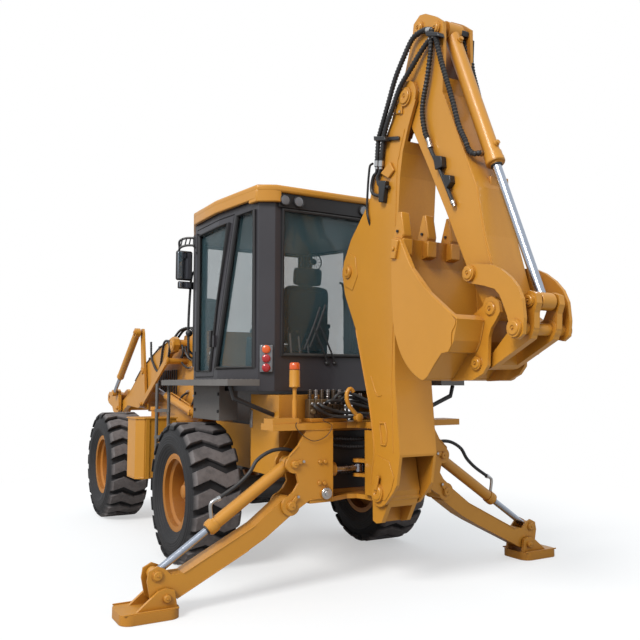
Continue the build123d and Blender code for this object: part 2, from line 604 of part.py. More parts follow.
with BuildPart() as level_links:
    link_edge = [
        (LINK_BASE[0] - 30, LINK_BASE[1] - 22), (LINK_BASE[0] - 10, LINK_BASE[1] + LINK_WIDTH),
        (LINK_BASE[0] + 20, LINK_BASE[1] + LINK_WIDTH),
        (LEVER_FOOT[0] + 12, LEVER_FOOT[1] + LINK_WIDTH), (LEVER_FOOT[0] + 34, LEVER_FOOT[1]),
        (LEVER_FOOT[0] + 10, LEVER_FOOT[1] - LINK_WIDTH), (LEVER_FOOT[0] - 16, LEVER_FOOT[1] - LINK_WIDTH),
        (LINK_BASE[0], LINK_BASE[1] - LINK_WIDTH - 6),
    ]
    for sign in (-1, 1):
        plate(link_edge, sign * 605 - 11, sign * 605 + 11)
        pin(LINK_BASE, 44, sign * 605 - 11, sign * 605 + 11)
        pin(LEVER_FOOT, 26, sign * 620 - 6, sign * 620 + 6)
    pin(LINK_BASE, 28, -700, 700, Mode.SUBTRACT)
level_links.part.label = "level_links"
export_step(level_links.part, "parts/level_links.step")

# Loader rams, one on each side of the machine: lift rams inside the arms, tilt rams outside.
LOADER_RAMS = [
    # name, base pin, rod pin, x, base pin radius, barrel length, barrel, rod, rod length, half eye
    ("lift", LIFT_BASE, LIFT_EYE, 445, 26, 820, 44, 25, 840, 20),
    ("tilt", LEVER_TOP, TILT_EYE, 638, 26, 850, 40, 22, 940, 27),
]
for name, base, eye, x, pin_radius, tube, tube_radius, rod_radius, rod_length, half in LOADER_RAMS:
    span = Vector(0, eye[0] - base[0], eye[1] - base[1]).length
    with BuildPart() as barrels:
        for sign in (-1, 1):
            first, last = at(sign * x, base), at(sign * x, eye)
            pin(base, pin_radius + 24, sign * x - 27, sign * x + 27)
            bar(first, last, tube_radius, 26, span - tube)
            bar(first, last, rod_radius + PIN_FIT, pin_radius + 34, 0, Mode.SUBTRACT)
        pin(base, pin_radius, -800, 800, Mode.SUBTRACT)
    barrels.part.label = f"{name}_barrels"
    export_step(barrels.part, f"parts/{name}_barrels.step")
    with BuildPart() as rods:
        for sign in (-1, 1):
            bar(at(sign * x, base), at(sign * x, eye), rod_radius, span - rod_length, 0)
            pin(eye, 38, sign * x - half, sign * x + half)
    rods.part.label = f"{name}_rods"
    export_step(rods.part, f"parts/{name}_rods.step")

# Nose pins in the arm ends, and the attachment carrier that hangs on them: two pairs of side
# plates on a cross beam, each pair with an open bore for an attachment's pin.
ATTACH_PIN = (3862.0, 1236.0)
CARRIER_EDGE = [
    (3395, 1085), (3400, 1180), (3425, 1318), (3470, 1340), (3530, 1325), (3640, 1285),
    (3780, 1300), (3862, 1306), (3930, 1262), (3930, 1200), (3880, 1165), (3700, 1120),
    (3640, 1060), (3500, 1045), (3430, 1050),
]
CARRIER_PLATES = ((-602, -566), (-481, -445), (445, 481), (566, 602))
with BuildPart() as nose_pins:
    for sign in (-1, 1):
        pin(NOSE_PIN, 26 - PIN_FIT, sign * 523 - 88, sign * 523 + 88)
nose_pins.part.label = "nose_pins"
export_step(nose_pins.part, "parts/nose_pins.step")
with BuildPart() as carrier:
    for low, high in CARRIER_PLATES:
        plate(CARRIER_EDGE, low, high)
    block(-602, 602, 3575, 3625, 1075, 1270)
    pin(NOSE_PIN, 26, -700, 700, Mode.SUBTRACT)
    pin(ATTACH_PIN, 25, -700, 700, Mode.SUBTRACT)
carrier.part.label = "carrier"
export_step(carrier.part, "parts/carrier.step")

# Cab: a hollow shell with a floor; windows and door openings are cut from one table.
CAB_PLAN = [
    (-620, -945), (-725, -890), (-800, -300), (-800, 230), (-560, 760), (560, 760),
    (800, 230), (800, -300), (725, -890), (620, -945),
]
QUARTER_WINDOW = [(-835, 1530), (-275, 1530), (-590, 2690), (-835, 2690)]
DOOR_OPENING = [(-215, 1460), (185, 1460), (185, 2715), (-540, 2715)]
FRONT_QUARTER = [(285, 1560), (690, 1560), (690, 2690), (285, 2690)]
REAR_WINDOW = [(-560, 1620), (560, 1620), (560, 2690), (-560, 2690)]
WINDSCREEN = [(-500, 1560), (500, 1560), (500, 2690), (-500, 2690)]


def cab_ring(outer, inner, low, high):
    """Wall that follows the cab's plan between two depths inside its outer face."""
    plan = face(level(low), CAB_PLAN)
    skin = offset(plan, -outer, kind=Kind.INTERSECTION) if outer else plan
    core = offset(plan, -inner, kind=Kind.INTERSECTION)
    return extrude(skin, high - low, mode=Mode.PRIVATE) - extrude(core, high - low, mode=Mode.PRIVATE)


def opening(view, points, shrink=0.0):
    """Prism through the cab wall for an opening, made smaller by a gap when asked."""
    plane = side(-1000) if view == "side" else across(-800 if view == "rear" else 900)
    outline = face(plane, points)
    if shrink:
        outline = offset(outline, -shrink, kind=Kind.INTERSECTION)
    return extrude(outline, 2000 if view == "side" else 250, mode=Mode.PRIVATE)


HINGE_X = 812.0
DOOR_HINGE_Y = 162.0
HINGE_HEIGHTS = (1600.0, 2600.0)
WINDOWS = [
    # view, outline
    ("side", QUARTER_WINDOW), ("side", FRONT_QUARTER), ("rear", REAR_WINDOW), ("front", WINDSCREEN),
]
with BuildPart() as cab_frame:
    slab(CAB_PLAN, CAB_FLOOR, CAB_TOP)
    extrude(offset(face(level(CAB_FLOOR + CAB_WALL), CAB_PLAN), -CAB_WALL, kind=Kind.INTERSECTION),
            CAB_TOP - CAB_FLOOR, mode=Mode.SUBTRACT)
    for view, outline in WINDOWS:
        add(opening(view, outline), mode=Mode.SUBTRACT)
    add(opening("side", DOOR_OPENING), mode=Mode.SUBTRACT)
    for sign in (-1, 1):
        for z in HINGE_HEIGHTS:
            for low, high in ((z - 80, z - 40 - SEAT), (z + 40 + SEAT, z + 80)):
                post((sign * HINGE_X, DOOR_HINGE_Y), 11.5, low, high)
                block(*sorted((sign * 800.5, sign * HINGE_X)), DOOR_HINGE_Y, 205, low, high)
                block(*sorted((sign * 797, sign * HINGE_X)), 189, 205, low, high)
cab_frame.part.label = "cab_frame"
export_step(cab_frame.part, "parts/cab_frame.step")

glass_ring = cab_ring(18, 24, 1500, 2760)
with BuildPart() as cab_glass:
    for view, outline in WINDOWS:
        add(glass_ring & opening(view, outline, SEAT))
cab_glass.part.label = "cab_glass"
export_step(cab_glass.part, "parts/cab_glass.step")

# Doors: a frame cut from the cab's own wall with a gap all round, and its pane.
DOOR_GAP = 6.0
DOOR_RAIL = 52.0
door_ring = cab_ring(0, 38, 1400, 2780)
for side_name, sign in (("left", -1), ("right", 1)):
    half = Pos(sign * 1000, 0, 2000) * Box(2000, 4000, 2000)
    with BuildPart() as door:
        add(door_ring & opening("side", DOOR_OPENING, DOOR_GAP) & half)
        add(opening("side", DOOR_OPENING, DOOR_RAIL), mode=Mode.SUBTRACT)
        for z in HINGE_HEIGHTS:
            post((sign * HINGE_X, DOOR_HINGE_Y), 14, z - 40, z + 40)
        block(*sorted((sign * 799, sign * 820)), -264, -240, 1700, 1790)
    door.part.label = f"door_{side_name}"
    export_step(door.part, f"parts/door_{side_name}.step")
    with BuildPart() as pane:
        add(glass_ring & opening("side", DOOR_OPENING, DOOR_RAIL + SEAT) & half)
    pane.part.label = f"door_pane_{side_name}"
    export_step(pane.part, f"parts/door_pane_{side_name}.step")

# Roof: an overhanging cap with a stepped edge.
ROOF_PLAN = [
    (-630, -985), (-760, -915), (-842, -310), (-842, 250), (-600, 830), (600, 830), (842, 250),
    (842, -310), (760, -915), (630, -985),
]
with BuildPart() as cab_roof:
    slab(ROOF_PLAN, CAB_TOP + SEAT, 2862)
    extrude(offset(face(level(2862), ROOF_PLAN), -45, kind=Kind.INTERSECTION), 26, taper=40)
cab_roof.part.label = "cab_roof"
export_step(cab_roof.part, "parts/cab_roof.step")

# Operator's station inside the cab: seat, front column with its wheel, and rear console.
with BuildPart() as station:
    block(-200, 200, -260, 160, CAB_FLOOR + CAB_WALL + SEAT, 1640)
    block(-255, 255, -300, 230, 1640, 1740)
    plate([(-300, 1700), (-180, 1700), (-250, 2330), (-350, 2330)], -240, 240)
    block(-150, 150, 470, 640, CAB_FLOOR + CAB_WALL + SEAT, 1850)
    block(-480, 480, -880, -760, CAB_FLOOR + CAB_WALL + SEAT, 1600)
    with Locations(Location((0, REAR_AXLE + 400, 1930), (35, 0, 0))):
        Cylinder(180, 24)
        Cylinder(150, 40, mode=Mode.SUBTRACT)
    with Locations(Location((0, REAR_AXLE + 400, 1930), (35, 0, 0))):
        Box(340, 40, 20)
    bar((0, 400, 1925), (0, 540, 1780), 24)
station.part.label = "operator_station"
export_step(station.part, "parts/operator_station.step")

# Platforms beside the cab, with a ladder under each front end and grab rails.
PLATFORM_EDGE = [
    (-800.3, 880), (-865, 900), (-1040, 330), (-1040, -1080), (-800.3, -1080),
]
LADDER_TUBES = ((-985, 640), (-900, 575))
with BuildPart() as platforms:
    slab(PLATFORM_EDGE, 1395, 1440)
    for x, y in LADDER_TUBES:
        bar((x, y, 1410), (x, y, 690), 14)
    for z in (700, 930, 1160):
        slab([(-1005, 640), (-985, 665), (-880, 585), (-900, 555)], z, z + 28)
    block(-850, -806, -470, 90, 1130, 1400)
    block(-810, -700, -470, 90, 1130, CAB_FLOOR - SEAT)
    mirror(about=Plane.YZ)
platforms.part.label = "platforms"
export_step(platforms.part, "parts/platforms.step")

# Rear valve bank behind the cab, standing on the stabiliser frame's deck.
with BuildPart() as valve_bank:
    block(-480, -170, -1225, -1110, 1140 + SEAT, 1200)
    for x in (-440, -375, -310, -245, -190):
        block(x - 24, x + 24, -1215, -1120, 1190, 1372)
valve_bank.part.label = "valve_bank"
export_step(valve_bank.part, "parts/valve_bank.step")

# Lamps: tail lamps on the cab's rear corners, work lamps under the roof and the beacon head.
with BuildPart() as lamps:
    for sign in (-1, 1):
        with Locations(Location((sign * 681.9, REAR_AXLE - 935.6, 1590), (0, 0, sign * 27.65))):
            Box(90, 40, 210)
    for x in (-554, -440, 440, 554):
        stud((x, 2755), 42, -985, -945 - SEAT)
    post((-590, -1200), 34, BEACON_BASE + SEAT, 1480)
    post((-590, -1200), 26, 1480, 1560)
lamps.part.label = "lamps"
export_step(lamps.part, "parts/lamps.step")

# Mirrors on arms from the front door posts.
with BuildPart() as mirrors:
    block(-1010, -850, 320, 370, 2230, 2570)
    bar((-790, 269, 2640), (-930, 345, 2640), 12)
    block(-812, -770, 245, 280, 2610, 2670)
    bar((-930, 345, 2540), (-930, 345, 2650), 12)
    extrude(offset(face(level(2590), CAB_PLAN), SEAT, kind=Kind.INTERSECTION), 100,
            mode=Mode.SUBTRACT)
    mirror(about=Plane.YZ)
mirrors.part.label = "mirrors"
export_step(mirrors.part, "parts/mirrors.step")
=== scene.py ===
"""Backhoe loader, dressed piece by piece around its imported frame."""
import math
import random

import bmesh
import bpy
from mathutils import Matrix, Vector


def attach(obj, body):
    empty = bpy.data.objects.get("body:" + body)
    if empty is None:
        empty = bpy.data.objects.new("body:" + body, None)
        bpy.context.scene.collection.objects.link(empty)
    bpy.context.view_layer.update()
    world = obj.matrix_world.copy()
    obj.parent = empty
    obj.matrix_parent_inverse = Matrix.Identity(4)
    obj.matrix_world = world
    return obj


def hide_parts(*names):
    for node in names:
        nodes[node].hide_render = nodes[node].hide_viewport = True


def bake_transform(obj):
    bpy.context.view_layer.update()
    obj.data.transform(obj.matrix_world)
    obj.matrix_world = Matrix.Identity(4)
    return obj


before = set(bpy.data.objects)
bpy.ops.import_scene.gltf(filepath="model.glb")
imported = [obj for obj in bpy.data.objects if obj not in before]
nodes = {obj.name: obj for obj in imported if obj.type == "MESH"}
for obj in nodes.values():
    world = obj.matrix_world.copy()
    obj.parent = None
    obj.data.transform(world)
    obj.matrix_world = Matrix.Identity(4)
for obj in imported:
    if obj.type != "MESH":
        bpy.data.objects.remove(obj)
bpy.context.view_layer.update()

# Camera where the photographer stood: behind the left stabiliser at chest height, looking up
# a little at the tall digging arm. Everything is measured from the ground under the rear axle.
REAR_AXLE = -0.4775


def spot(x, y, z):
    return Vector((x, REAR_AXLE + y, z))


camera_data = bpy.data.cameras.new("camera")
SENSOR, FOCAL_PIXELS, PICTURE_PIXELS = 36, 733, 640
camera_data.sensor_width = SENSOR
camera_data.lens = SENSOR * FOCAL_PIXELS / PICTURE_PIXELS
camera = bpy.data.objects.new("camera", camera_data)
bpy.context.scene.collection.objects.link(camera)
camera.location = spot(-2.976, -5.701, 1.41)
camera.rotation_euler = (math.radians(94.96), 0, math.radians(-29.9))
bpy.context.scene.camera = camera
bpy.context.scene.view_settings.view_transform = "Standard"

# Studio: a pale floor that fades into a white surround, an even sky and one broad soft lamp
# from behind the photographer's left shoulder.
world = bpy.data.worlds.new("surround")
bpy.context.scene.world = world
world.use_nodes = True
sky = world.node_tree
sky.nodes.clear()
sky_out = sky.nodes.new("ShaderNodeOutputWorld")
seen = sky.nodes.new("ShaderNodeBackground")
seen.inputs["Color"].default_value = (1, 1, 1, 1)
seen.inputs["Strength"].default_value = 1.0
lit = sky.nodes.new("ShaderNodeBackground")
lit.inputs["Strength"].default_value = 0.76
rise = sky.nodes.new("ShaderNodeTexCoord")
split = sky.nodes.new("ShaderNodeSeparateXYZ")
sky.links.new(rise.outputs["Generated"], split.inputs["Vector"])
bands = sky.nodes.new("ShaderNodeValToRGB")
bands.color_ramp.elements[0].position = 0.30
bands.color_ramp.elements[0].color = (0.24, 0.24, 0.25, 1)
bands.color_ramp.elements[1].position = 0.62
bands.color_ramp.elements[1].color = (0.92, 0.96, 1.0, 1)
half_up = sky.nodes.new("ShaderNodeMath")
half_up.operation = "MULTIPLY_ADD"
half_up.inputs[1].default_value = 0.5
half_up.inputs[2].default_value = 0.5
sky.links.new(split.outputs["Z"], half_up.inputs[0])
sky.links.new(half_up.outputs[0], bands.inputs["Fac"])
sky.links.new(bands.outputs["Color"], lit.inputs["Color"])
path = sky.nodes.new("ShaderNodeLightPath")
choose = sky.nodes.new("ShaderNodeMixShader")
sky.links.new(path.outputs["Is Camera Ray"], choose.inputs["Fac"])
sky.links.new(lit.outputs[0], choose.inputs[1])
sky.links.new(seen.outputs[0], choose.inputs[2])
sky.links.new(choose.outputs[0], sky_out.inputs["Surface"])

lamp_data = bpy.data.lights.new("soft lamp", "SUN")
lamp_data.energy = 2.45
lamp_data.angle = math.radians(20)
lamp_data.color = (1.0, 0.97, 0.93)
lamp = bpy.data.objects.new("soft lamp", lamp_data)
lamp.rotation_euler = (math.radians(50), 0, math.radians(-62))
bpy.context.scene.collection.objects.link(lamp)

floor_mesh = bpy.data.meshes.new("floor")
floor_mesh.from_pydata(
    [(-60, -60, -0.002), (60, -60, -0.002), (60, 60, -0.002), (-60, 60, -0.002)], [], [(0, 1, 2, 3)])
floor = bpy.data.objects.new("floor", floor_mesh)
bpy.context.scene.collection.objects.link(floor)
floor_finish = bpy.data.materials.new("floor")
floor_finish.use_nodes = True
ground = floor_finish.node_tree
ground_body = ground.nodes["Principled BSDF"]
ground_body.inputs["Roughness"].default_value = 1.0
ground_body.inputs["Specular IOR Level"].default_value = 0.0
ground_eye = ground.nodes.new("ShaderNodeLightPath")
ground_shade = ground.nodes.new("ShaderNodeMix")
ground_shade.data_type = "RGBA"
ground_shade.inputs["A"].default_value = (0.40, 0.39, 0.38, 1)
ground_shade.inputs["B"].default_value = (0.93, 0.965, 0.99, 1)
ground.links.new(ground_eye.outputs["Is Camera Ray"], ground_shade.inputs["Factor"])
ground.links.new(ground_shade.outputs["Result"], ground_body.inputs["Base Color"])
ground_place = ground.nodes.new("ShaderNodeTexCoord")
ground_reach = ground.nodes.new("ShaderNodeVectorMath")
ground_reach.operation = "LENGTH"
ground.links.new(ground_place.outputs["Object"], ground_reach.inputs[0])
ground_fade = ground.nodes.new("ShaderNodeMapRange")
ground_fade.inputs["From Min"].default_value = 1.5
ground_fade.inputs["From Max"].default_value = 5.5
ground_fade.inputs["To Max"].default_value = 1.0
ground_fade.inputs["To Min"].default_value = 0.45
ground.links.new(ground_reach.outputs["Value"], ground_fade.inputs["Value"])
ground_white = ground.nodes.new("ShaderNodeEmission")
ground_white.inputs["Strength"].default_value = 1.0
ground_mix = ground.nodes.new("ShaderNodeMixShader")
ground_far = ground.nodes.new("ShaderNodeMath")
ground_far.operation = "MULTIPLY"
ground.links.new(ground_fade.outputs["Result"], ground_far.inputs[0])
ground.links.new(ground_eye.outputs["Is Camera Ray"], ground_far.inputs[1])
ground.links.new(ground_far.outputs[0], ground_mix.inputs["Fac"])
ground.links.new(ground_body.outputs[0], ground_mix.inputs[1])
ground.links.new(ground_white.outputs[0], ground_mix.inputs[2])
ground.links.new(ground_mix.outputs[0], ground.nodes["Material Output"].inputs["Surface"])
floor_mesh.materials.append(floor_finish)

# Yellow coat: two-pack enamel sprayed over welded plate. It has a faint orange peel, a slight
# change of shade from panel to panel, dust on what faces up, painted shade in corners and recesses and soft
# rounded edges.


def enamel(name, colour, rough, shade=0.10, dust=0.10, peel=0.02, edge=0.004, metal=0.0, glaze=0.0,
           dust_colour=(0.40, 0.36, 0.30, 1), patch=1.3):
    """Painted finish: colour drifts between two shades, dust lies on upward faces and painted shade darkens
    corners and recesses.
    """
    finish = bpy.data.materials.new(name)
    finish.use_nodes = True
    tree = finish.node_tree
    body = tree.nodes["Principled BSDF"]
    body.inputs["Metallic"].default_value = metal
    body.inputs["Coat Weight"].default_value = glaze
    body.inputs["Coat Roughness"].default_value = 0.12
    where = tree.nodes.new("ShaderNodeTexCoord")
    drift = tree.nodes.new("ShaderNodeTexNoise")
    drift.inputs["Scale"].default_value = patch
    drift.inputs["Detail"].default_value = 6.0
    drift.inputs["Roughness"].default_value = 0.6
    tree.links.new(where.outputs["Object"], drift.inputs["Vector"])
    shades = tree.nodes.new("ShaderNodeValToRGB")
    low, high = shades.color_ramp.elements
    low.position, high.position = 0.32, 0.68
    low.color = tuple(c * (1 - shade) for c in colour) + (1,)
    high.color = tuple(min(1, c * (1 + shade)) for c in colour) + (1,)
    tree.links.new(drift.outputs["Fac"], shades.inputs["Fac"])
    normal = tree.nodes.new("ShaderNodeNewGeometry")
    facing = tree.nodes.new("ShaderNodeSeparateXYZ")
    tree.links.new(normal.outputs["Normal"], facing.inputs["Vector"])
    speck = tree.nodes.new("ShaderNodeTexNoise")
    speck.inputs["Scale"].default_value = 26.0
    speck.inputs["Detail"].default_value = 8.0
    tree.links.new(where.outputs["Object"], speck.inputs["Vector"])
    lies = tree.nodes.new("ShaderNodeMapRange")
    lies.inputs["From Min"].default_value = 0.2
    lies.inputs["From Max"].default_value = 1.0
    lies.inputs["To Max"].default_value = dust * 2
    tree.links.new(facing.outputs["Z"], lies.inputs["Value"])
    film = tree.nodes.new("ShaderNodeMath")
    film.operation = "MULTIPLY"
    tree.links.new(lies.outputs["Result"], film.inputs[0])
    tree.links.new(speck.outputs["Fac"], film.inputs[1])
    dusted = tree.nodes.new("ShaderNodeMix")
    dusted.data_type = "RGBA"
    dusted.inputs["B"].default_value = dust_colour
    tree.links.new(film.outputs[0], dusted.inputs["Factor"])
    tree.links.new(shades.outputs["Color"], dusted.inputs["A"])
    # Painted shade: where ambient occlusion finds corners, creases and recesses, the colour is darkened toward a
    # deeper tone.
    nook = tree.nodes.new("ShaderNodeAmbientOcclusion")
    nook.samples = 4
    nook.inputs["Distance"].default_value = 0.45
    open_air = tree.nodes.new("ShaderNodeMapRange")
    open_air.inputs["From Min"].default_value = 0.20
    open_air.inputs["From Max"].default_value = 0.72
    tree.links.new(nook.outputs["AO"], open_air.inputs["Value"])
    painted_recess_shade = tree.nodes.new("ShaderNodeMix")
    painted_recess_shade.data_type = "RGBA"
    painted_recess_shade.inputs["A"].default_value = (colour[0] * 0.52, colour[1] * 0.40, colour[2] * 0.36, 1)
    tree.links.new(open_air.outputs["Result"], painted_recess_shade.inputs["Factor"])
    tree.links.new(dusted.outputs["Result"], painted_recess_shade.inputs["B"])
    tree.links.new(painted_recess_shade.outputs["Result"], body.inputs["Base Color"])
    gloss = tree.nodes.new("ShaderNodeMapRange")
    gloss.inputs["To Min"].default_value = rough - 0.06
    gloss.inputs["To Max"].default_value = rough + 0.10
    tree.links.new(speck.outputs["Fac"], gloss.inputs["Value"])
    tree.links.new(gloss.outputs["Result"], body.inputs["Roughness"])
    skin = tree.nodes.new("ShaderNodeTexNoise")
    skin.inputs["Scale"].default_value = 220.0
    skin.inputs["Detail"].default_value = 2.0
    tree.links.new(where.outputs["Object"], skin.inputs["Vector"])
    bump = tree.nodes.new("ShaderNodeBump")
    bump.inputs["Strength"].default_value = peel
    bump.inputs["Distance"].default_value = 0.01
    tree.links.new(skin.outputs["Fac"], bump.inputs["Height"])
    if edge:
        soft = tree.nodes.new("ShaderNodeBevel")
        soft.samples = 3
        soft.inputs["Radius"].default_value = edge
        tree.links.new(soft.outputs["Normal"], bump.inputs["Normal"])
    tree.links.new(bump.outputs["Normal"], body.inputs["Normal"])
    return finish


def wear(finish, *names):
    """The named frame nodes take this finish."""
    for name in names:
        nodes[name].data.materials.clear()
        nodes[name].data.materials.append(finish)


YELLOW = (0.590, 0.262, 0.024)
yellow_coat = enamel("yellow enamel", YELLOW, 0.38, shade=0.05, dust=0.05, glaze=0.22)
wear(yellow_coat, *nodes)

# Under the cab the middle of the rear frame is painted near black: painted shadow of the cab above it.
frame_coat_and_shadow = enamel("frame enamel and painted shadow", YELLOW, 0.40, shade=0.06, dust=0.08, glaze=0.15)
shading = frame_coat_and_shadow.node_tree
frame_place = shading.nodes.new("ShaderNodeTexCoord")
frame_split = shading.nodes.new("ShaderNodeSeparateXYZ")
shading.links.new(frame_place.outputs["Object"], frame_split.inputs["Vector"])
middle_part = shading.nodes.new("ShaderNodeMath")
middle_part.operation = "ABSOLUTE"
shading.links.new(frame_split.outputs["X"], middle_part.inputs[0])
near_middle = shading.nodes.new("ShaderNodeMath")
near_middle.operation = "LESS_THAN"
near_middle.inputs[1].default_value = 0.30
shading.links.new(middle_part.outputs[0], near_middle.inputs[0])
above = shading.nodes.new("ShaderNodeMath")
above.operation = "GREATER_THAN"
above.inputs[1].default_value = 1.03
shading.links.new(frame_split.outputs["Z"], above.inputs[0])
both = shading.nodes.new("ShaderNodeMath")
both.operation = "MULTIPLY"
shading.links.new(near_middle.outputs[0], both.inputs[0])
shading.links.new(above.outputs[0], both.inputs[1])
painted_cab_shadow = shading.nodes.new("ShaderNodeMix")
painted_cab_shadow.data_type = "RGBA"
painted_cab_shadow.inputs["B"].default_value = (0.022, 0.021, 0.024, 1)
shading.links.new(both.outputs[0], painted_cab_shadow.inputs["Factor"])
coat_body = shading.nodes["Principled BSDF"]
shading.links.new(coat_body.inputs["Base Color"].links[0].from_socket, painted_cab_shadow.inputs["A"])
shading.links.new(painted_cab_shadow.outputs["Result"], coat_body.inputs["Base Color"])
wear(frame_coat_and_shadow, "rear_frame")

# Chrome rods of the cylinders: ground, hard-chromed and wiped clean by their seals.
rod_chrome = enamel("hard chrome", (0.50, 0.54, 0.62), 0.24, shade=0.05, dust=0.02, peel=0.0, edge=0,
                    metal=1.0)
wear(rod_chrome, "boom_rod", "crowd_rod", "bucket_rod", "stabiliser_rod_left", "stabiliser_rod_right",
     "swing_rod_left", "swing_rod_right", "lift_rods", "tilt_rods")


def finish_mesh(name, mesh, body, finish, bevel=0.0, segments=2):
    """Puts a made mesh in the scene with its finish, softens its edges and rides it on a body."""
    mesh.materials.append(finish)
    piece = bpy.data.objects.new(name, mesh)
    bpy.context.scene.collection.objects.link(piece)
    for polygon in mesh.polygons:
        polygon.use_smooth = True
    mesh.set_sharp_from_angle(angle=math.radians(35))
    if bevel:
        rounding = piece.modifiers.new("edge", "BEVEL")
        rounding.width = bevel
        rounding.segments = segments
        rounding.limit_method = "ANGLE"
        rounding.angle_limit = math.radians(40)
    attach(piece, body)
    return piece


def turned(name, profile, centre, way, body, finish, sides=32):
    """Turned piece: (distance along, radius) pairs spun about a line through centre."""
    grid = bmesh.new()
    way = Vector(way).normalized()
    basis = way.to_track_quat("Z", "Y").to_matrix()
    rings = []
    hoop = profile[0] == profile[-1]
    for along, radius in profile[:-1] if hoop else profile:
        if radius < 1e-6:
            rings.append([grid.verts.new(centre + way * along)])
        else:
            rings.append([grid.verts.new(centre + basis @ Vector((
                radius * math.cos(2 * math.pi * k / sides), radius * math.sin(2 * math.pi * k / sides), along)))
                for k in range(sides)])
    for first, second in zip(rings, rings[1:] + rings[:1] if hoop else rings[1:]):
        for k in range(sides):
            corners = [first[k % len(first)], first[(k + 1) % len(first)],
                       second[(k + 1) % len(second)], second[k % len(second)]]
            unique = list(dict.fromkeys(corners))
            if len(unique) > 2:
                grid.faces.new(unique)
    for ring in (rings[0], rings[-1]):
        if len(ring) > 1 and not hoop:
            grid.faces.new(ring)
    bmesh.ops.recalc_face_normals(grid, faces=grid.faces)
    mesh = bpy.data.meshes.new(name)
    grid.to_mesh(mesh)
    grid.free()
    return finish_mesh(name, mesh, body, finish)


# Pin eyes take the yellow coat of what they sit on: the rods' eyes are welded forgings.
def collar(name, low, high, radius, y, z, body, finish):
    """Round band across the machine, from one x to another."""
    edge = 0.003
    turned(name, [(low, 0.0), (low, radius - edge), (low + edge, radius), (high - edge, radius),
                  (high, radius - edge), (high, 0.0)], spot(0, y, z), (1, 0, 0), body, finish)


for ram, y, z, half, radius, x in (
        ("boom_rod", -1.211, 2.222, 0.0455, 0.049, 0.0), ("crowd_rod", -2.035, 3.720, 0.0445, 0.047, 0.0),
        ("bucket_rod", -2.922, 1.847, 0.0505, 0.049, 0.0),
        ("lift_rod", 2.350, 1.350, 0.0205, 0.039, -0.445), ("lift_rod", 2.350, 1.350, 0.0205, 0.039, 0.445),
        ("tilt_rod", 3.470, 1.294, 0.0275, 0.039, -0.638), ("tilt_rod", 3.470, 1.294, 0.0275, 0.039, 0.638)):
    collar(f"{ram}_eye_{'left' if x < 0 else 'right'}", x - half, x + half, radius, y, z, ram, yellow_coat)

# Axles: cast cases in dark machine grey, with an oil film that holds dust.
# The same finish goes on nothing else.
axle_grey = enamel("axle grey", (0.075, 0.076, 0.080), 0.50, shade=0.20, dust=0.35, patch=3.0)
wear(axle_grey, "rear_axle", "front_axle")


# Tyres: black moulded rubber. The lug tops are scuffed and dusty, the grooves stay black, and
# rings are moulded in the side wall.


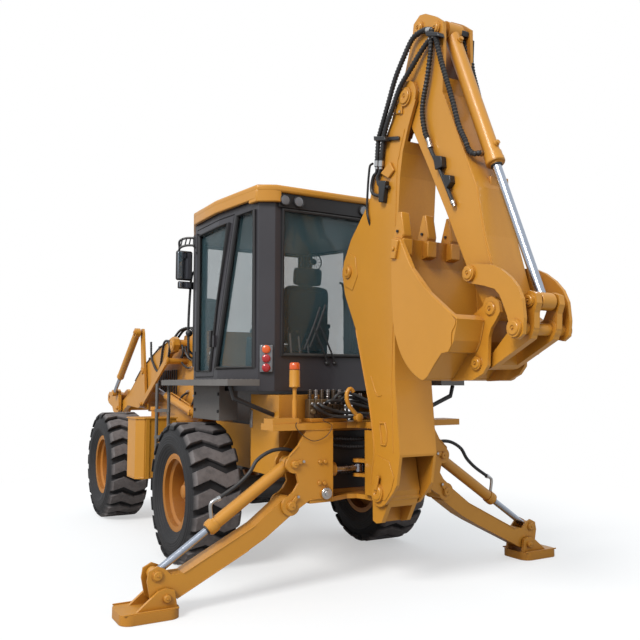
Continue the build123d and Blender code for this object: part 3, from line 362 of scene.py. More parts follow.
def rubber(name, centre):
    """Tyre compound whose dust depends on the distance from the wheel's own axis."""
    finish = bpy.data.materials.new(name)
    finish.use_nodes = True
    tree = finish.node_tree
    body = tree.nodes["Principled BSDF"]
    where = tree.nodes.new("ShaderNodeTexCoord")
    shift = tree.nodes.new("ShaderNodeVectorMath")
    shift.operation = "SUBTRACT"
    shift.inputs[1].default_value = centre
    flat = tree.nodes.new("ShaderNodeVectorMath")
    flat.operation = "MULTIPLY"
    flat.inputs[1].default_value = (0, 1, 1)
    reach = tree.nodes.new("ShaderNodeVectorMath")
    reach.operation = "LENGTH"
    tree.links.new(where.outputs["Object"], shift.inputs[0])
    tree.links.new(shift.outputs[0], flat.inputs[0])
    tree.links.new(flat.outputs[0], reach.inputs[0])
    top = tree.nodes.new("ShaderNodeMapRange")
    top.inputs["From Min"].default_value = 0.520
    top.inputs["From Max"].default_value = 0.546
    tree.links.new(reach.outputs["Value"], top.inputs["Value"])
    grain = tree.nodes.new("ShaderNodeTexNoise")
    grain.inputs["Scale"].default_value = 14.0
    grain.inputs["Detail"].default_value = 9.0
    grain.inputs["Roughness"].default_value = 0.7
    tree.links.new(where.outputs["Object"], grain.inputs["Vector"])
    worn = tree.nodes.new("ShaderNodeMath")
    worn.operation = "MULTIPLY"
    tree.links.new(top.outputs["Result"], worn.inputs[0])
    tree.links.new(grain.outputs["Fac"], worn.inputs[1])
    blackness = tree.nodes.new("ShaderNodeValToRGB")
    blackness.color_ramp.elements[0].position = 0.05
    blackness.color_ramp.elements[0].color = (0.020, 0.020, 0.022, 1)
    blackness.color_ramp.elements[1].position = 0.62
    blackness.color_ramp.elements[1].color = (0.165, 0.150, 0.150, 1)
    film = tree.nodes.new("ShaderNodeMath")
    film.operation = "MULTIPLY_ADD"
    film.inputs[1].default_value = 0.10
    tree.links.new(grain.outputs["Fac"], film.inputs[0])
    tree.links.new(worn.outputs[0], film.inputs[2])
    tree.links.new(film.outputs[0], blackness.inputs["Fac"])
    tree.links.new(blackness.outputs["Color"], body.inputs["Base Color"])
    body.inputs["Roughness"].default_value = 0.62
    body.inputs["Specular IOR Level"].default_value = 0.35
    wave = tree.nodes.new("ShaderNodeMath")
    wave.operation = "SINE"
    often = tree.nodes.new("ShaderNodeMath")
    often.operation = "MULTIPLY"
    often.inputs[1].default_value = 330.0
    tree.links.new(reach.outputs["Value"], often.inputs[0])
    tree.links.new(often.outputs[0], wave.inputs[0])
    wall = tree.nodes.new("ShaderNodeMapRange")
    wall.inputs["From Min"].default_value = 0.475
    wall.inputs["From Max"].default_value = 0.470
    tree.links.new(reach.outputs["Value"], wall.inputs["Value"])
    rings = tree.nodes.new("ShaderNodeMath")
    rings.operation = "MULTIPLY"
    tree.links.new(wave.outputs[0], rings.inputs[0])
    tree.links.new(wall.outputs["Result"], rings.inputs[1])
    rough = tree.nodes.new("ShaderNodeMath")
    rough.operation = "MULTIPLY_ADD"
    rough.inputs[1].default_value = 0.9
    tree.links.new(grain.outputs["Fac"], rough.inputs[0])
    tree.links.new(rings.outputs[0], rough.inputs[2])
    bump = tree.nodes.new("ShaderNodeBump")
    bump.inputs["Strength"].default_value = 0.30
    bump.inputs["Distance"].default_value = 0.004
    tree.links.new(rough.outputs[0], bump.inputs["Height"])
    soft = tree.nodes.new("ShaderNodeBevel")
    soft.samples = 3
    soft.inputs["Radius"].default_value = 0.010
    tree.links.new(soft.outputs["Normal"], bump.inputs["Normal"])
    tree.links.new(bump.outputs["Normal"], body.inputs["Normal"])
    return finish


black_rubber = enamel("black rubber", (0.022, 0.022, 0.024), 0.48, shade=0.25, dust=0.10, edge=0)
bright_steel = enamel("bright steel", (0.60, 0.60, 0.60), 0.28, shade=0.08, dust=0.05, edge=0, metal=1.0)
# Rims, hub caps and lips take a darker, deeper copy of the yellow: painted shade for the shadow inside the deep
# dished rim.
rim_coat_with_dish_shade = enamel("wheel enamel with painted dish shade", (0.430, 0.165, 0.018), 0.42, shade=0.10, dust=0.12, glaze=0.10)
wear(rim_coat_with_dish_shade, *(name for name in nodes if name.startswith("rim_")))
WHEELBASE, WHEEL_HEIGHT, NUT_CIRCLE = 2.37, 0.55, 0.168
for axle_name, axle_y in (("rear", 0.0), ("front", WHEELBASE)):
    for side_name, side in (("left", -1), ("right", 1)):
        tyre = nodes[f"tyre_{axle_name}_{side_name}"]
        spread = [[v.co[k] for v in tyre.data.vertices] for k in range(3)]
        wear(rubber(f"tyre rubber {axle_name} {side_name}", tuple((min(s) + max(s)) / 2 for s in spread)),
             tyre.name)
        wheel = f"{axle_name}_wheel_{side_name}"
        face_x = side * (0.870 - 0.022)
        for k in range(8):
            turn = 2 * math.pi * (k + 0.5) / 8
            turned(f"{wheel}_nut_{k}",
                   [(0, 0), (0, 0.019), (0.016, 0.019), (0.018, 0.016), (0.018, 0.011), (0.032, 0.010),
                    (0.034, 0.0)],
                   spot(face_x + side * 0.003, axle_y + NUT_CIRCLE * math.cos(turn),
                        WHEEL_HEIGHT + NUT_CIRCLE * math.sin(turn)), (side, 0, 0), wheel, bright_steel,
                   sides=6)
        turned(f"{wheel}_hub_cap", [(0, 0), (0, 0.058), (0.012, 0.056), (0.022, 0.044), (0.025, 0.020),
                                    (0.025, 0.0)],
               spot(side * 0.944, axle_y, WHEEL_HEIGHT), (side, 0, 0), wheel, rim_coat_with_dish_shade)
        for lip_x in (1.020, 0.722):
            turned(f"{wheel}_lip_{'out' if lip_x > 0.8 else 'in'}",
                   [(-0.008, 0.277), (-0.008, 0.301), (-0.002, 0.309), (0.006, 0.309), (0.008, 0.301),
                    (0.006, 0.277), (-0.008, 0.277)],
                   spot(side * lip_x, axle_y, WHEEL_HEIGHT), (side, 0, 0), wheel, rim_coat_with_dish_shade, sides=72)

# Cab: welded tube frame and lower panels in a dark satin coat, with doors coated the same.
dark_coat = enamel("dark coat", (0.036, 0.034, 0.041), 0.40, shade=0.12, dust=0.06, edge=0.008, glaze=0.20)
wear(dark_coat, "cab_frame", "door_left", "door_right")


def tinted(name, colour, cover):
    """Tinted safety glass that lets part of the view through."""
    finish = bpy.data.materials.new(name)
    finish.use_nodes = True
    tree = finish.node_tree
    body = tree.nodes["Principled BSDF"]
    body.inputs["Roughness"].default_value = 0.03
    body.inputs["Specular IOR Level"].default_value = 0.9
    where = tree.nodes.new("ShaderNodeTexCoord")
    streak = tree.nodes.new("ShaderNodeTexNoise")
    streak.inputs["Scale"].default_value = 1.6
    streak.inputs["Detail"].default_value = 5.0
    tree.links.new(where.outputs["Object"], streak.inputs["Vector"])
    shades = tree.nodes.new("ShaderNodeValToRGB")
    shades.color_ramp.elements[0].position = 0.35
    shades.color_ramp.elements[0].color = tuple(c * 0.75 for c in colour) + (1,)
    shades.color_ramp.elements[1].position = 0.65
    shades.color_ramp.elements[1].color = tuple(c * 1.25 for c in colour) + (1,)
    tree.links.new(streak.outputs["Fac"], shades.inputs["Fac"])
    tree.links.new(shades.outputs["Color"], body.inputs["Base Color"])
    veil = tree.nodes.new("ShaderNodeMapRange")
    veil.inputs["To Min"].default_value = cover - 0.06
    veil.inputs["To Max"].default_value = cover + 0.06
    tree.links.new(streak.outputs["Fac"], veil.inputs["Value"])
    tree.links.new(veil.outputs["Result"], body.inputs["Alpha"])
    return finish


window_glass = tinted("window glass", (0.060, 0.120, 0.140), 0.28)
wear(window_glass, "cab_glass", "door_pane_left", "door_pane_right")


def tube(name, points, radius, body, finish, rib=0.0, step=0.016, sides=10, straight=False, bend=None):
    """Hose, wire or bent bar: a round section swept along a line through the points."""
    knots = [spot(*p) for p in points]
    line = []
    if straight:
        line = knots
    else:
        ends = [knots[0] * 2 - knots[1]] + knots + [knots[-1] * 2 - knots[-2]]
        for a, b, c, d in zip(ends, ends[1:], ends[2:], ends[3:]):
            count = max(2, math.ceil((c - b).length / step))
            for k in range(count):
                t = k / count
                line.append(0.5 * (2 * b + (c - a) * t + (2 * a - 5 * b + 4 * c - d) * t * t
                                   + (3 * b - a - 3 * c + d) * t ** 3))
        line.append(knots[-1])
    closed = (line[0] - line[-1]).length < 1e-6
    if closed:
        line = line[:-1]
    grid = bmesh.new()
    last = len(line) - 1
    rings = []
    across = None
    for k, point in enumerate(line):
        before = line[k - 1] if (k or closed) else point
        after = line[(k + 1) % len(line)] if (k < last or closed) else point
        ahead = (after - before).normalized()
        if across is None:
            across = ahead.orthogonal().normalized()
        across = (across - ahead * across.dot(ahead)).normalized()
        up = ahead.cross(across)
        wide = radius * (1 + rib * (1 if k % 2 else -1))
        if straight and 0 < k < last or straight and closed:
            one, two = (point - before).normalized(), (after - point).normalized()
            wide = radius / max(0.5, (one + two).length / 2)
        rings.append([grid.verts.new(point + wide * (across * math.cos(2 * math.pi * j / sides)
                                                     + up * math.sin(2 * math.pi * j / sides)))
                      for j in range(sides)])
    pairs = list(zip(rings, rings[1:]))
    if closed:
        pairs.append((rings[-1], rings[0]))
    for first, second in pairs:
        for j in range(sides):
            grid.faces.new([first[j], first[(j + 1) % sides], second[(j + 1) % sides], second[j]])
    if not closed:
        grid.faces.new(rings[0])
        grid.faces.new(rings[-1])
    bmesh.ops.recalc_face_normals(grid, faces=grid.faces)
    mesh = bpy.data.meshes.new(name)
    grid.to_mesh(mesh)
    grid.free()
    if bend is None:
        return finish_mesh(name, mesh, body, finish)
    mesh.materials.append(finish)
    for polygon in mesh.polygons:
        polygon.use_smooth = True
    hose = bpy.data.objects.new(name, mesh)
    bpy.context.scene.collection.objects.link(hose)
    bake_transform(hose)
    return hose


def slab(name, outline, axis, low, high, body, finish, bevel=0.003, taper=1.0, segments=2):
    """Plate with rounded edges: an outline in two axes, from one value to another on the third."""
    grid = bmesh.new()
    order = {"x": lambda p, v: (v, p[0], p[1]), "y": lambda p, v: (p[0], v, p[1]),
             "z": lambda p, v: (p[0], p[1], v)}[axis]
    middle = [sum(p[k] for p in outline) / len(outline) for k in (0, 1)]
    tops = [[middle[k] + (p[k] - middle[k]) * taper for k in (0, 1)] for p in outline]
    base = [grid.verts.new(spot(*order(p, low))) for p in outline]
    lid = [grid.verts.new(spot(*order(p, high))) for p in tops]
    grid.faces.new(base)
    grid.faces.new(lid)
    for k in range(len(outline)):
        j = (k + 1) % len(outline)
        grid.faces.new([base[k], base[j], lid[j], lid[k]])
    bmesh.ops.recalc_face_normals(grid, faces=grid.faces)
    mesh = bpy.data.meshes.new(name)
    grid.to_mesh(mesh)
    grid.free()
    return finish_mesh(name, mesh, body, finish, bevel, segments)


def oblong(low, high):
    """Four corners between two opposite ones."""
    return [low, (high[0], low[1]), high, (low[0], high[1])]


CAB_PLAN = [(0.620, -0.945), (0.725, -0.890), (0.800, -0.300), (0.800, 0.230), (0.560, 0.760)]


def cab_x(y):
    """Half width of the cab's outer face at a depth."""
    for (x0, y0), (x1, y1) in zip(CAB_PLAN, CAB_PLAN[1:]):
        if y0 <= y <= y1:
            return x0 + (x1 - x0) * (y - y0) / (y1 - y0)
    return 0.56


# Window gaskets: black rubber channel pressed on the edge of each opening, glass in its lip.
QUARTER = [(-0.835, 1.530), (-0.300, 1.530), (-0.275, 1.530), (-0.590, 2.690), (-0.835, 2.690)]
FRONT_QUARTER = [(0.285, 1.560), (0.690, 1.560), (0.690, 2.690), (0.285, 2.690)]
DOOR_SIGHT = [(-0.146, 1.512), (0.127, 1.512), (0.127, 2.657), (-0.300, 2.657), (-0.462, 2.657),
              (-0.300, 2.080)]
for side_name, side in (("left", -1), ("right", 1)):
    for label, outline, body in (("quarter", QUARTER, "chassis"), ("front_quarter", FRONT_QUARTER, "chassis"),
                                 ("door_sight", DOOR_SIGHT, f"door_{side_name}")):
        ring = [(side * (cab_x(y) + 0.001), y, z) for y, z in outline]
        tube(f"gasket_{label}_{side_name}", ring + ring[:1], 0.013, body, black_rubber, straight=True,
             sides=8)
for label, y, x, low in (("rear", -0.947, 0.560, 1.620), ("windscreen", 0.762, 0.500, 1.560)):
    ring = [(-x, y, low), (x, y, low), (x, y, 2.690), (-x, y, 2.690)]
    tube(f"gasket_{label}", ring + ring[:1], 0.014, "chassis", black_rubber, straight=True, sides=8)

# Door seals and handles: a rubber strip in the gap round each door, a paddle latch and a
# keyhole on the rear stile, and a grab rod beside the front post.
DOOR_GAP = [(-0.212, 1.463), (0.182, 1.463), (0.182, 2.712), (-0.300, 2.712), (-0.536, 2.712),
            (-0.300, 1.790)]
black_plastic = enamel("black plastic", (0.020, 0.020, 0.022), 0.42, shade=0.15, dust=0.10, edge=0)
for side_name, side in (("left", -1), ("right", 1)):
    ring = [(side * (cab_x(y) - 0.012), y, z) for y, z in DOOR_GAP]
    tube(f"door_seal_{side_name}", ring + ring[:1], 0.0055, "chassis", black_rubber, straight=True, sides=6)
    door = f"door_{side_name}"
    slab(f"door_latch_{side_name}", oblong((-0.205, 1.700), (-0.172, 1.835)), "x",
         *sorted((side * 0.798, side * 0.826)), door, black_plastic, 0.006)
    turned(f"door_lock_{side_name}", [(0, 0), (0, 0.013), (0.006, 0.012), (0.006, 0.0)],
           spot(side * 0.800, -0.155, 1.655), (side, 0, 0), door, bright_steel, sides=16)
    rail = [(side * x, y, z) for x, y, z in (
        (0.735, 0.36, 2.390), (0.765, 0.37, 2.380), (0.785, 0.372, 2.300), (0.800, 0.374, 2.000),
        (0.800, 0.374, 1.760), (0.790, 0.372, 1.690), (0.745, 0.360, 1.660))]
    tube(f"grab_rail_{side_name}", rail, 0.011, "chassis", black_plastic)
    tube(f"ball_rod_{side_name}",
         [(side * 0.745, 0.36, 1.62), (side * 0.80, 0.36, 1.66), (side * 0.80, 0.36, 1.82)], 0.007,
         "chassis", black_plastic)
    turned(f"ball_{side_name}", [(-0.030, 0)] + [(-0.030 * math.cos(math.pi * k / 10),
                                                  0.030 * math.sin(math.pi * k / 10)) for k in range(1, 10)]
           + [(0.030, 0)], spot(side * 0.80, 0.36, 1.845), (0, 0, 1), "chassis", black_plastic, sides=18)

# Roof: a moulded yellow cap with a rolled edge all round, a dark fascia under its rear edge
# and a dark liner inside.
ROOF_PLAN = [(-0.630, -0.984), (-0.760, -0.914), (-0.841, -0.310), (-0.838, 0.180), (-0.600, 0.829),
             (0.600, 0.829), (0.838, 0.180), (0.841, -0.310), (0.760, -0.914), (0.630, -0.984)]
roof = slab("roof_cap", ROOF_PLAN, "z", 2.812, 2.866, "chassis", yellow_coat, 0.018, segments=4)
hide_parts("cab_roof")
slab("roof_crown", [(x * 0.93, -0.03 + (y + 0.03) * 0.93) for x, y in ROOF_PLAN], "z", 2.858, 2.886,
     "chassis", yellow_coat, 0.012, taper=0.955, segments=3)
slab("roof_liner", [(x * 0.90, -0.05 + (y + 0.05) * 0.90) for x, y in ROOF_PLAN], "z", 2.700, 2.760,
     "chassis", black_plastic, 0.01)
for side_name, side in (("left", -1), ("right", 1)):
    slab(f"roof_corner_{side_name}", [(side * 0.772, -0.800), (side * 0.758, -0.912), (side * 0.632, -0.981),
                                      (side * 0.585, -0.981), (side * 0.585, -0.960), (side * 0.620, -0.950),
                                      (side * 0.728, -0.890), (side * 0.740, -0.800)],
         "z", 2.738, 2.840, "chassis", yellow_coat, 0.007)
    slab(f"roof_skirt_{side_name}", [(side * 0.760, -0.905), (side * 0.840, -0.310), (side * 0.837, 0.178),
                                     (side * 0.600, 0.825), (side * 0.575, 0.810), (side * 0.804, 0.170),
                                     (side * 0.806, -0.300), (side * 0.733, -0.885)],
         "z", 2.760, 2.840, "chassis", yellow_coat, 0.007)
slab("rear_fascia", oblong((-0.600, -0.966), (0.600, -0.948)), "z", 2.705, 2.812, "chassis", black_plastic,
     0.004)

# Lamps: round work lamps in rubber bodies, three-lens tail lamps with a clear rim, and a
# beacon in a yellow canister on its post.
lens_clear = tinted("clear lens", (0.20, 0.21, 0.23), 0.80)
lens_red = enamel("red lens", (0.42, 0.012, 0.016), 0.12, shade=0.2, dust=0.0, peel=0.0, edge=0, glaze=0.8)
lens_amber = enamel("amber lens", (0.72, 0.105, 0.012), 0.14, shade=0.15, dust=0.0, peel=0.0, edge=0,
                    glaze=0.8)
for k, x in enumerate((-0.554, -0.440, 0.138, 0.440, 0.554)):
    shell = turned(f"work_lamp_{k}",
                   [(0.0, 0.0), (0.0, 0.024), (0.010, 0.038), (0.030, 0.043), (0.036, 0.043),
                    (0.038, 0.040), (0.033, 0.037), (0.031, 0.0)], spot(x, -0.945, 2.758), (0, -1, 0),
                   "chassis", black_plastic)
    turned(f"work_lens_{k}", [(0.0, 0.0), (0.0, 0.036), (0.004, 0.034), (0.006, 0.020), (0.007, 0.0)],
           spot(x, -0.977, 2.758), (0, -1, 0), "chassis", lens_clear)
    if k == 0:
        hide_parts("lamps")
for side_name, side in (("left", -1), ("right", 1)):
    out = Vector((side * 0.464, -0.886, 0))
    along = Vector((side * 0.886, 0.464, 0)) * -1
    root = spot(side * 0.6725, -0.9175, 0)
    rows = [(root + out * 0.004 + along * s * 0.045) for s in (-1, 1)]
    slab(f"tail_base_{side_name}", [(p.x, p.y - REAR_AXLE) for p in (rows[0], rows[1], rows[1] + out * 0.012,
                                                                     rows[0] + out * 0.012)],
         "z", 1.487, 1.692, "chassis", black_plastic, 0.004)
    slab(f"tail_rim_{side_name}", [(p.x, p.y - REAR_AXLE) for p in (
        rows[0] + out * 0.010 - along * 0.003, rows[1] + out * 0.010 + along * 0.003, rows[1] + out * 0.020,
        rows[0] + out * 0.020)], "z", 1.492, 1.687, "chassis", lens_clear, 0.005)
    for z, lens in ((1.656, lens_amber), (1.590, lens_red), (1.524, lens_red)):
        at = root + out * 0.024
        turned(f"tail_lens_{side_name}_{round(z * 1000)}",
               [(0.0, 0.0), (0.0, 0.031), (0.008, 0.030), (0.013, 0.024), (0.015, 0.012), (0.0155, 0.0)],
               Vector((at.x, at.y, z)), out, "chassis", lens)
turned("beacon_can", [(0, 0), (0, 0.037), (0.004, 0.039), (0.010, 0.037), (0.105, 0.037), (0.118, 0.035),
                      (0.122, 0.0)], spot(-0.590, -1.200, 1.386), (0, 0, 1), "chassis", yellow_coat)
turned("beacon_lens", [(0, 0), (0, 0.036), (0.006, 0.038), (0.040, 0.036), (0.048, 0.030), (0.052, 0.0)],
       spot(-0.590, -1.200, 1.507), (0, 0, 1), "chassis", lens_amber)
turned("beacon_post",
       [(0, 0), (0, 0.030), (0.012, 0.030), (0.016, 0.014), (0.236, 0.014), (0.244, 0.026), (0.252, 0.026),
        (0.254, 0.0)], spot(-0.590, -1.200, 1.140), (0, 0, 1), "chassis", yellow_coat)

# Wipers on the rear window: two pressed-steel arms, each on a spindle of its own, with rubber
# blades that lie on the glass.
for k, (root, tip) in enumerate((((-0.183, 1.562), (-0.309, 1.830)), ((-0.115, 1.563), (-0.262, 1.850)))):
    turned(f"wiper_spindle_{k}", [(0, 0), (0, 0.017), (0.012, 0.016), (0.020, 0.009), (0.020, 0.0)],
           spot(root[0], -0.945, root[1]), (0, -1, 0), "chassis", black_plastic, sides=20)
    tube(f"wiper_arm_{k}",
         [(root[0], -0.960, root[1]), ((root[0] + tip[0]) / 2, -0.972, (root[1] + tip[1]) / 2),
          (tip[0], -0.968, tip[1])], 0.007, "chassis", black_plastic)
    tube(f"wiper_blade_{k}", [(tip[0] - 0.075, -0.962, tip[1] - 0.170), (tip[0], -0.966, tip[1]),
                              (tip[0] + 0.060, -0.962, tip[1] + 0.150)], 0.008, "chassis", black_rubber)

# Mirrors: moulded backs with glass faces, a large one above a low one, on tubular arms from
# the front posts.
mirror_glass = enamel("mirror glass", (0.55, 0.60, 0.66), 0.05, shade=0.1, dust=0.0, peel=0.0, edge=0,
                      metal=1.0)
for side_name, side in (("left", -1), ("right", 1)):
    shell = slab(f"mirror_shell_{side_name}", oblong((side * 0.932, 2.300), (side * 0.785, 2.560)), "y",
                 0.330, 0.368, "chassis", black_plastic, 0.018, segments=4)
    if side < 0:
        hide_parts("mirrors")
    slab(f"mirror_face_{side_name}", oblong((side * 0.922, 2.312), (side * 0.795, 2.548)), "y",
         0.3255, 0.334, "chassis", mirror_glass, 0.003)
    slab(f"mirror_low_{side_name}", oblong((side * 0.912, 2.228), (side * 0.760, 2.292)), "y",
         0.334, 0.366, "chassis", black_plastic, 0.012, segments=3)
    slab(f"mirror_low_face_{side_name}", oblong((side * 0.904, 2.236), (side * 0.768, 2.284)), "y",
         0.3295, 0.338, "chassis", mirror_glass, 0.003)
    for k, (z_cab, z_out) in enumerate(((2.665, 2.640), (2.600, 2.575))):
        tube(f"mirror_arm_{side_name}_{k}",
             [(side * 0.795, 0.262, z_cab), (side * 0.860, 0.310, z_cab), (side * 0.905, 0.340, z_out),
              (side * 0.902, 0.349, z_out - 0.06)], 0.010, "chassis", black_plastic)
    for k in range(3):
        tube(f"mirror_brace_{side_name}_{k}", [(side * (0.825 + 0.03 * k), 0.285 + 0.018 * k, 2.664),
                                               (side * (0.838 + 0.03 * k), 0.293 + 0.018 * k, 2.598)],
             0.006, "chassis", black_plastic, sides=8)
    slab(f"mirror_foot_{side_name}", oblong((0.236, 2.585), (0.285, 2.680)), "x",
         *sorted((side * 0.776, side * 0.806)), "chassis", black_plastic, 0.004)

# Operator's station: a suspension seat in grey cloth that turns between two consoles, the
# steering column in front and the lever bank for the digging arm behind.
seat_cloth = enamel("seat cloth", (0.030, 0.030, 0.034), 0.85, shade=0.25, dust=0.08, peel=0.35, edge=0)
trim = enamel("cab trim", (0.055, 0.055, 0.058), 0.60, shade=0.12, dust=0.10, edge=0.004)


def pad(name, middle, size, lean, body, finish, puff=0.35):
    """Stuffed pad: a subdivided block whose faces swell and whose edges are drawn in."""
    grid = bmesh.new()
    bmesh.ops.create_cube(grid, size=1.0)
    bmesh.ops.subdivide_edges(grid, edges=grid.edges, cuts=7, use_grid_fill=True)
    tilt = Matrix.Rotation(math.radians(lean), 3, "X")
    for vert in grid.verts:
        unit = vert.co * 2
        x, y, z = unit
        cup = 1 - puff * 0.30 * (x ** 4 + y ** 4)
        groove = 0.06 * math.cos(3 * math.pi * x) if abs(z) > 0.99 else 0.0
        shaped = Vector((x * (1 - 0.06 * (abs(y) ** 6 + abs(z) ** 6)),
                         y * (1 - 0.06 * (abs(x) ** 6 + abs(z) ** 6)), z * cup * (1 - 0.10) + groove * z))
        vert.co = spot(*middle) + tilt @ Vector([shaped[k] * size[k] / 2 for k in range(3)])
    bmesh.ops.recalc_face_normals(grid, faces=grid.faces)
    mesh = bpy.data.meshes.new(name)
    grid.to_mesh(mesh)
    grid.free()
    piece = finish_mesh(name, mesh, body, finish)
    smooth = piece.modifiers.new("smooth", "SUBSURF")
    smooth.levels = smooth.render_levels = 1
    return piece


seat_base = slab("seat_base", oblong((-0.190, -0.230), (0.190, 0.140)), "z", 1.402, 1.500, "chassis", trim,
                 0.012)
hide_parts("operator_station")
for k in range(5):
    slab(f"seat_bellows_{k}", oblong((-0.170 + 0.006 * (k % 2), -0.210), (0.170 - 0.006 * (k % 2), 0.120)),
         "z", 1.500 + 0.026 * k, 1.526 + 0.026 * k, "chassis", black_rubber, 0.008)
slab("seat_pan", oblong((-0.225, -0.260), (0.225, 0.190)), "z", 1.628, 1.652, "chassis", trim, 0.008)
pad("seat_cushion", (0.0, -0.035, 1.700), (0.490, 0.500, 0.105), 3, "chassis", seat_cloth)
pad("seat_back", (0.0, -0.262, 1.985), (0.420, 0.500, 0.110), 97, "chassis", seat_cloth)
pad("seat_headrest", (0.0, -0.312, 2.310), (0.250, 0.150, 0.085), 97, "chassis", seat_cloth)
slab("seat_shell", [(-0.330, 1.680), (-0.300, 1.672), (-0.330, 2.180), (-0.344, 2.180)], "x", -0.185, 0.185,
     "chassis", black_plastic, 0.006)
for side_name, side in (("left", -1), ("right", 1)):
    pad(f"armrest_{side_name}", (side * 0.235, -0.110, 1.905), (0.060, 0.300, 0.050), 0, "chassis",
        seat_cloth)
    tube(f"armrest_arm_{side_name}", [(side * 0.205, -0.285, 1.760), (side * 0.235, -0.255, 1.860),
                                      (side * 0.235, -0.200, 1.893)], 0.012, "chassis", black_plastic)
    slab(f"rear_console_{side_name}", [(-0.872, 1.402), (-0.770, 1.402), (-0.770, 1.540), (-0.800, 1.594),
                                       (-0.872, 1.594)],
         "x", *sorted((side * 0.200, side * 0.470)), "chassis", trim, 0.012)
    for k in range(3):
        x = side * (0.250 + 0.075 * k)
        tube(f"lever_{side_name}_{k}",
             [(x, -0.800, 1.580), (x, -0.785, 1.640), (x, -0.760, 1.760 + 0.02 * k)], 0.007, "chassis",
             bright_steel, sides=8)
        turned(f"lever_knob_{side_name}_{k}",
               [(0, 0), (0.004, 0.012), (0.022, 0.020), (0.040, 0.019), (0.052, 0.010), (0.054, 0)],
               spot(x, -0.761, 1.748 + 0.02 * k), (0, 0.15, 1), "chassis", black_plastic, sides=16)
slab("front_console", [(0.475, 1.402), (0.635, 1.402), (0.635, 1.720), (0.600, 1.845), (0.500, 1.800)], "x",
     -0.145, 0.145, "chassis", trim, 0.015, segments=3)
slab("dashboard", [(0.520, 1.790), (0.540, 1.780), (0.632, 1.835), (0.612, 1.850)], "x", -0.140, 0.140,
     "chassis", black_plastic, 0.004)
tube("steering_column", [(0, 0.535, 1.770), (0, 0.470, 1.860), (0, 0.402, 1.925)], 0.024, "chassis",
     black_plastic)
wheel_tilt = Matrix.Rotation(math.radians(35), 3, "X")
ring = []
for k in range(33):
    turn = 2 * math.pi * k / 32
    p = wheel_tilt @ Vector((0.165 * math.cos(turn), 0.165 * math.sin(turn), 0))
    ring.append((p.x, 0.400 + p.y, 1.930 + p.z))
tube("steering_wheel", ring, 0.013, "chassis", black_plastic, straight=True)
for k in range(3):
    turn = math.pi / 2 + 2 * math.pi * k / 3
    p = wheel_tilt @ Vector((0.160 * math.cos(turn), 0.160 * math.sin(turn), 0))
    tube(f"steering_spoke_{k}", [(0, 0.400, 1.926), (p.x, 0.400 + p.y, 1.930 + p.z)], 0.009, "chassis",
         black_plastic, sides=8)
fan_at = spot(0.52, 0.50, 2.600)
tube("fan_cage",
     [(0.52 + 0.085 * math.cos(2 * math.pi * k / 24), 0.50,
       2.600 + 0.085 * math.sin(2 * math.pi * k / 24)) for k in range(25)], 0.006, "chassis", black_plastic,
     straight=True, sides=6)
for k in range(6):
    turn = math.pi * k / 6
    tube(f"fan_guard_{k}", [(0.52 - 0.085 * math.cos(turn), 0.500, 2.600 - 0.085 * math.sin(turn)),
                            (0.52, 0.485, 2.600),
                            (0.52 + 0.085 * math.cos(turn), 0.500, 2.600 + 0.085 * math.sin(turn))],
         0.0025, "chassis", black_plastic, sides=6)
turned("fan_motor", [(0, 0), (0, 0.030), (0.050, 0.026), (0.055, 0.0)], fan_at, (0, 1, 0), "chassis",
       black_plastic)
tube("fan_stalk", [(0.52, 0.530, 2.600), (0.52, 0.560, 2.650), (0.52, 0.560, 2.705)], 0.008, "chassis",
     black_plastic)

# Platforms: folded checker plate in grey, with tube ladders. Bolts hold them to their brackets.
platform_grey = enamel("platform grey", (0.135, 0.128, 0.122), 0.55, shade=0.18, dust=0.30, edge=0.005)
wear(platform_grey, "platforms")
for side_name, side in (("left", -1), ("right", 1)):
    tread = bmesh.new()
    rng = random.Random(11)
    for row in range(46):
        for column in range(6):
            x = 0.822 + 0.036 * column + (0.018 if row % 2 else 0.0)
            y = -1.060 + 0.041 * row
            if x > 1.025 or (y > 0.33 and x > 1.04 - (y - 0.33) * 0.307 - 0.02) or x < cab_x(max(-0.94, min(y, 0.75))) + 0.012:
                continue
            turn = math.radians(40 if (row + column) % 2 else -40) + rng.uniform(-0.03, 0.03)
            ends = []
            for along, wide, z in ((-0.014, 0, 1.4402), (0, -0.004, 1.4402), (0.014, 0, 1.4402),
                                   (0, 0.004, 1.4402), (0, 0, 1.4422)):
                ends.append(tread.verts.new(spot(side * (x + along * math.cos(turn) - wide * math.sin(turn)),
                                                 y + along * math.sin(turn) + wide * math.cos(turn), z)))
            for a in range(4):
                tread.faces.new([ends[a], ends[(a + 1) % 4], ends[4]])
    bmesh.ops.recalc_face_normals(tread, faces=tread.faces)
    tread_mesh = bpy.data.meshes.new(f"tread_{side_name}")
    tread.to_mesh(tread_mesh)
    tread.free()
    finish_mesh(f"tread_{side_name}", tread_mesh, "chassis", platform_grey)
    tube(f"platform_strut_{side_name}", [(side * 0.985, -1.00, 1.394), (side * 0.960, -1.00, 1.310),
                                         (side * 0.655, -1.00, 1.190)], 0.016, "chassis", black_plastic,
         straight=True)
    slab(f"silver_strip_{side_name}", oblong((side * 0.651, 1.082), (side * 0.657, 1.212)), "y", -0.645,
         -0.605, "chassis", bright_steel, 0.002)
    for y, z in ((-0.45, 1.20), (-0.45, 1.33), (0.05, 1.20), (0.05, 1.33)):
        turned(f"step_bolt_{side_name}_{round(y * 100)}_{round(z * 100)}",
               [(0, 0), (0, 0.014), (0.010, 0.013), (0.012, 0.0)], spot(side * 0.850, y, z), (side, 0, 0),
               "chassis", black_plastic, sides=6)

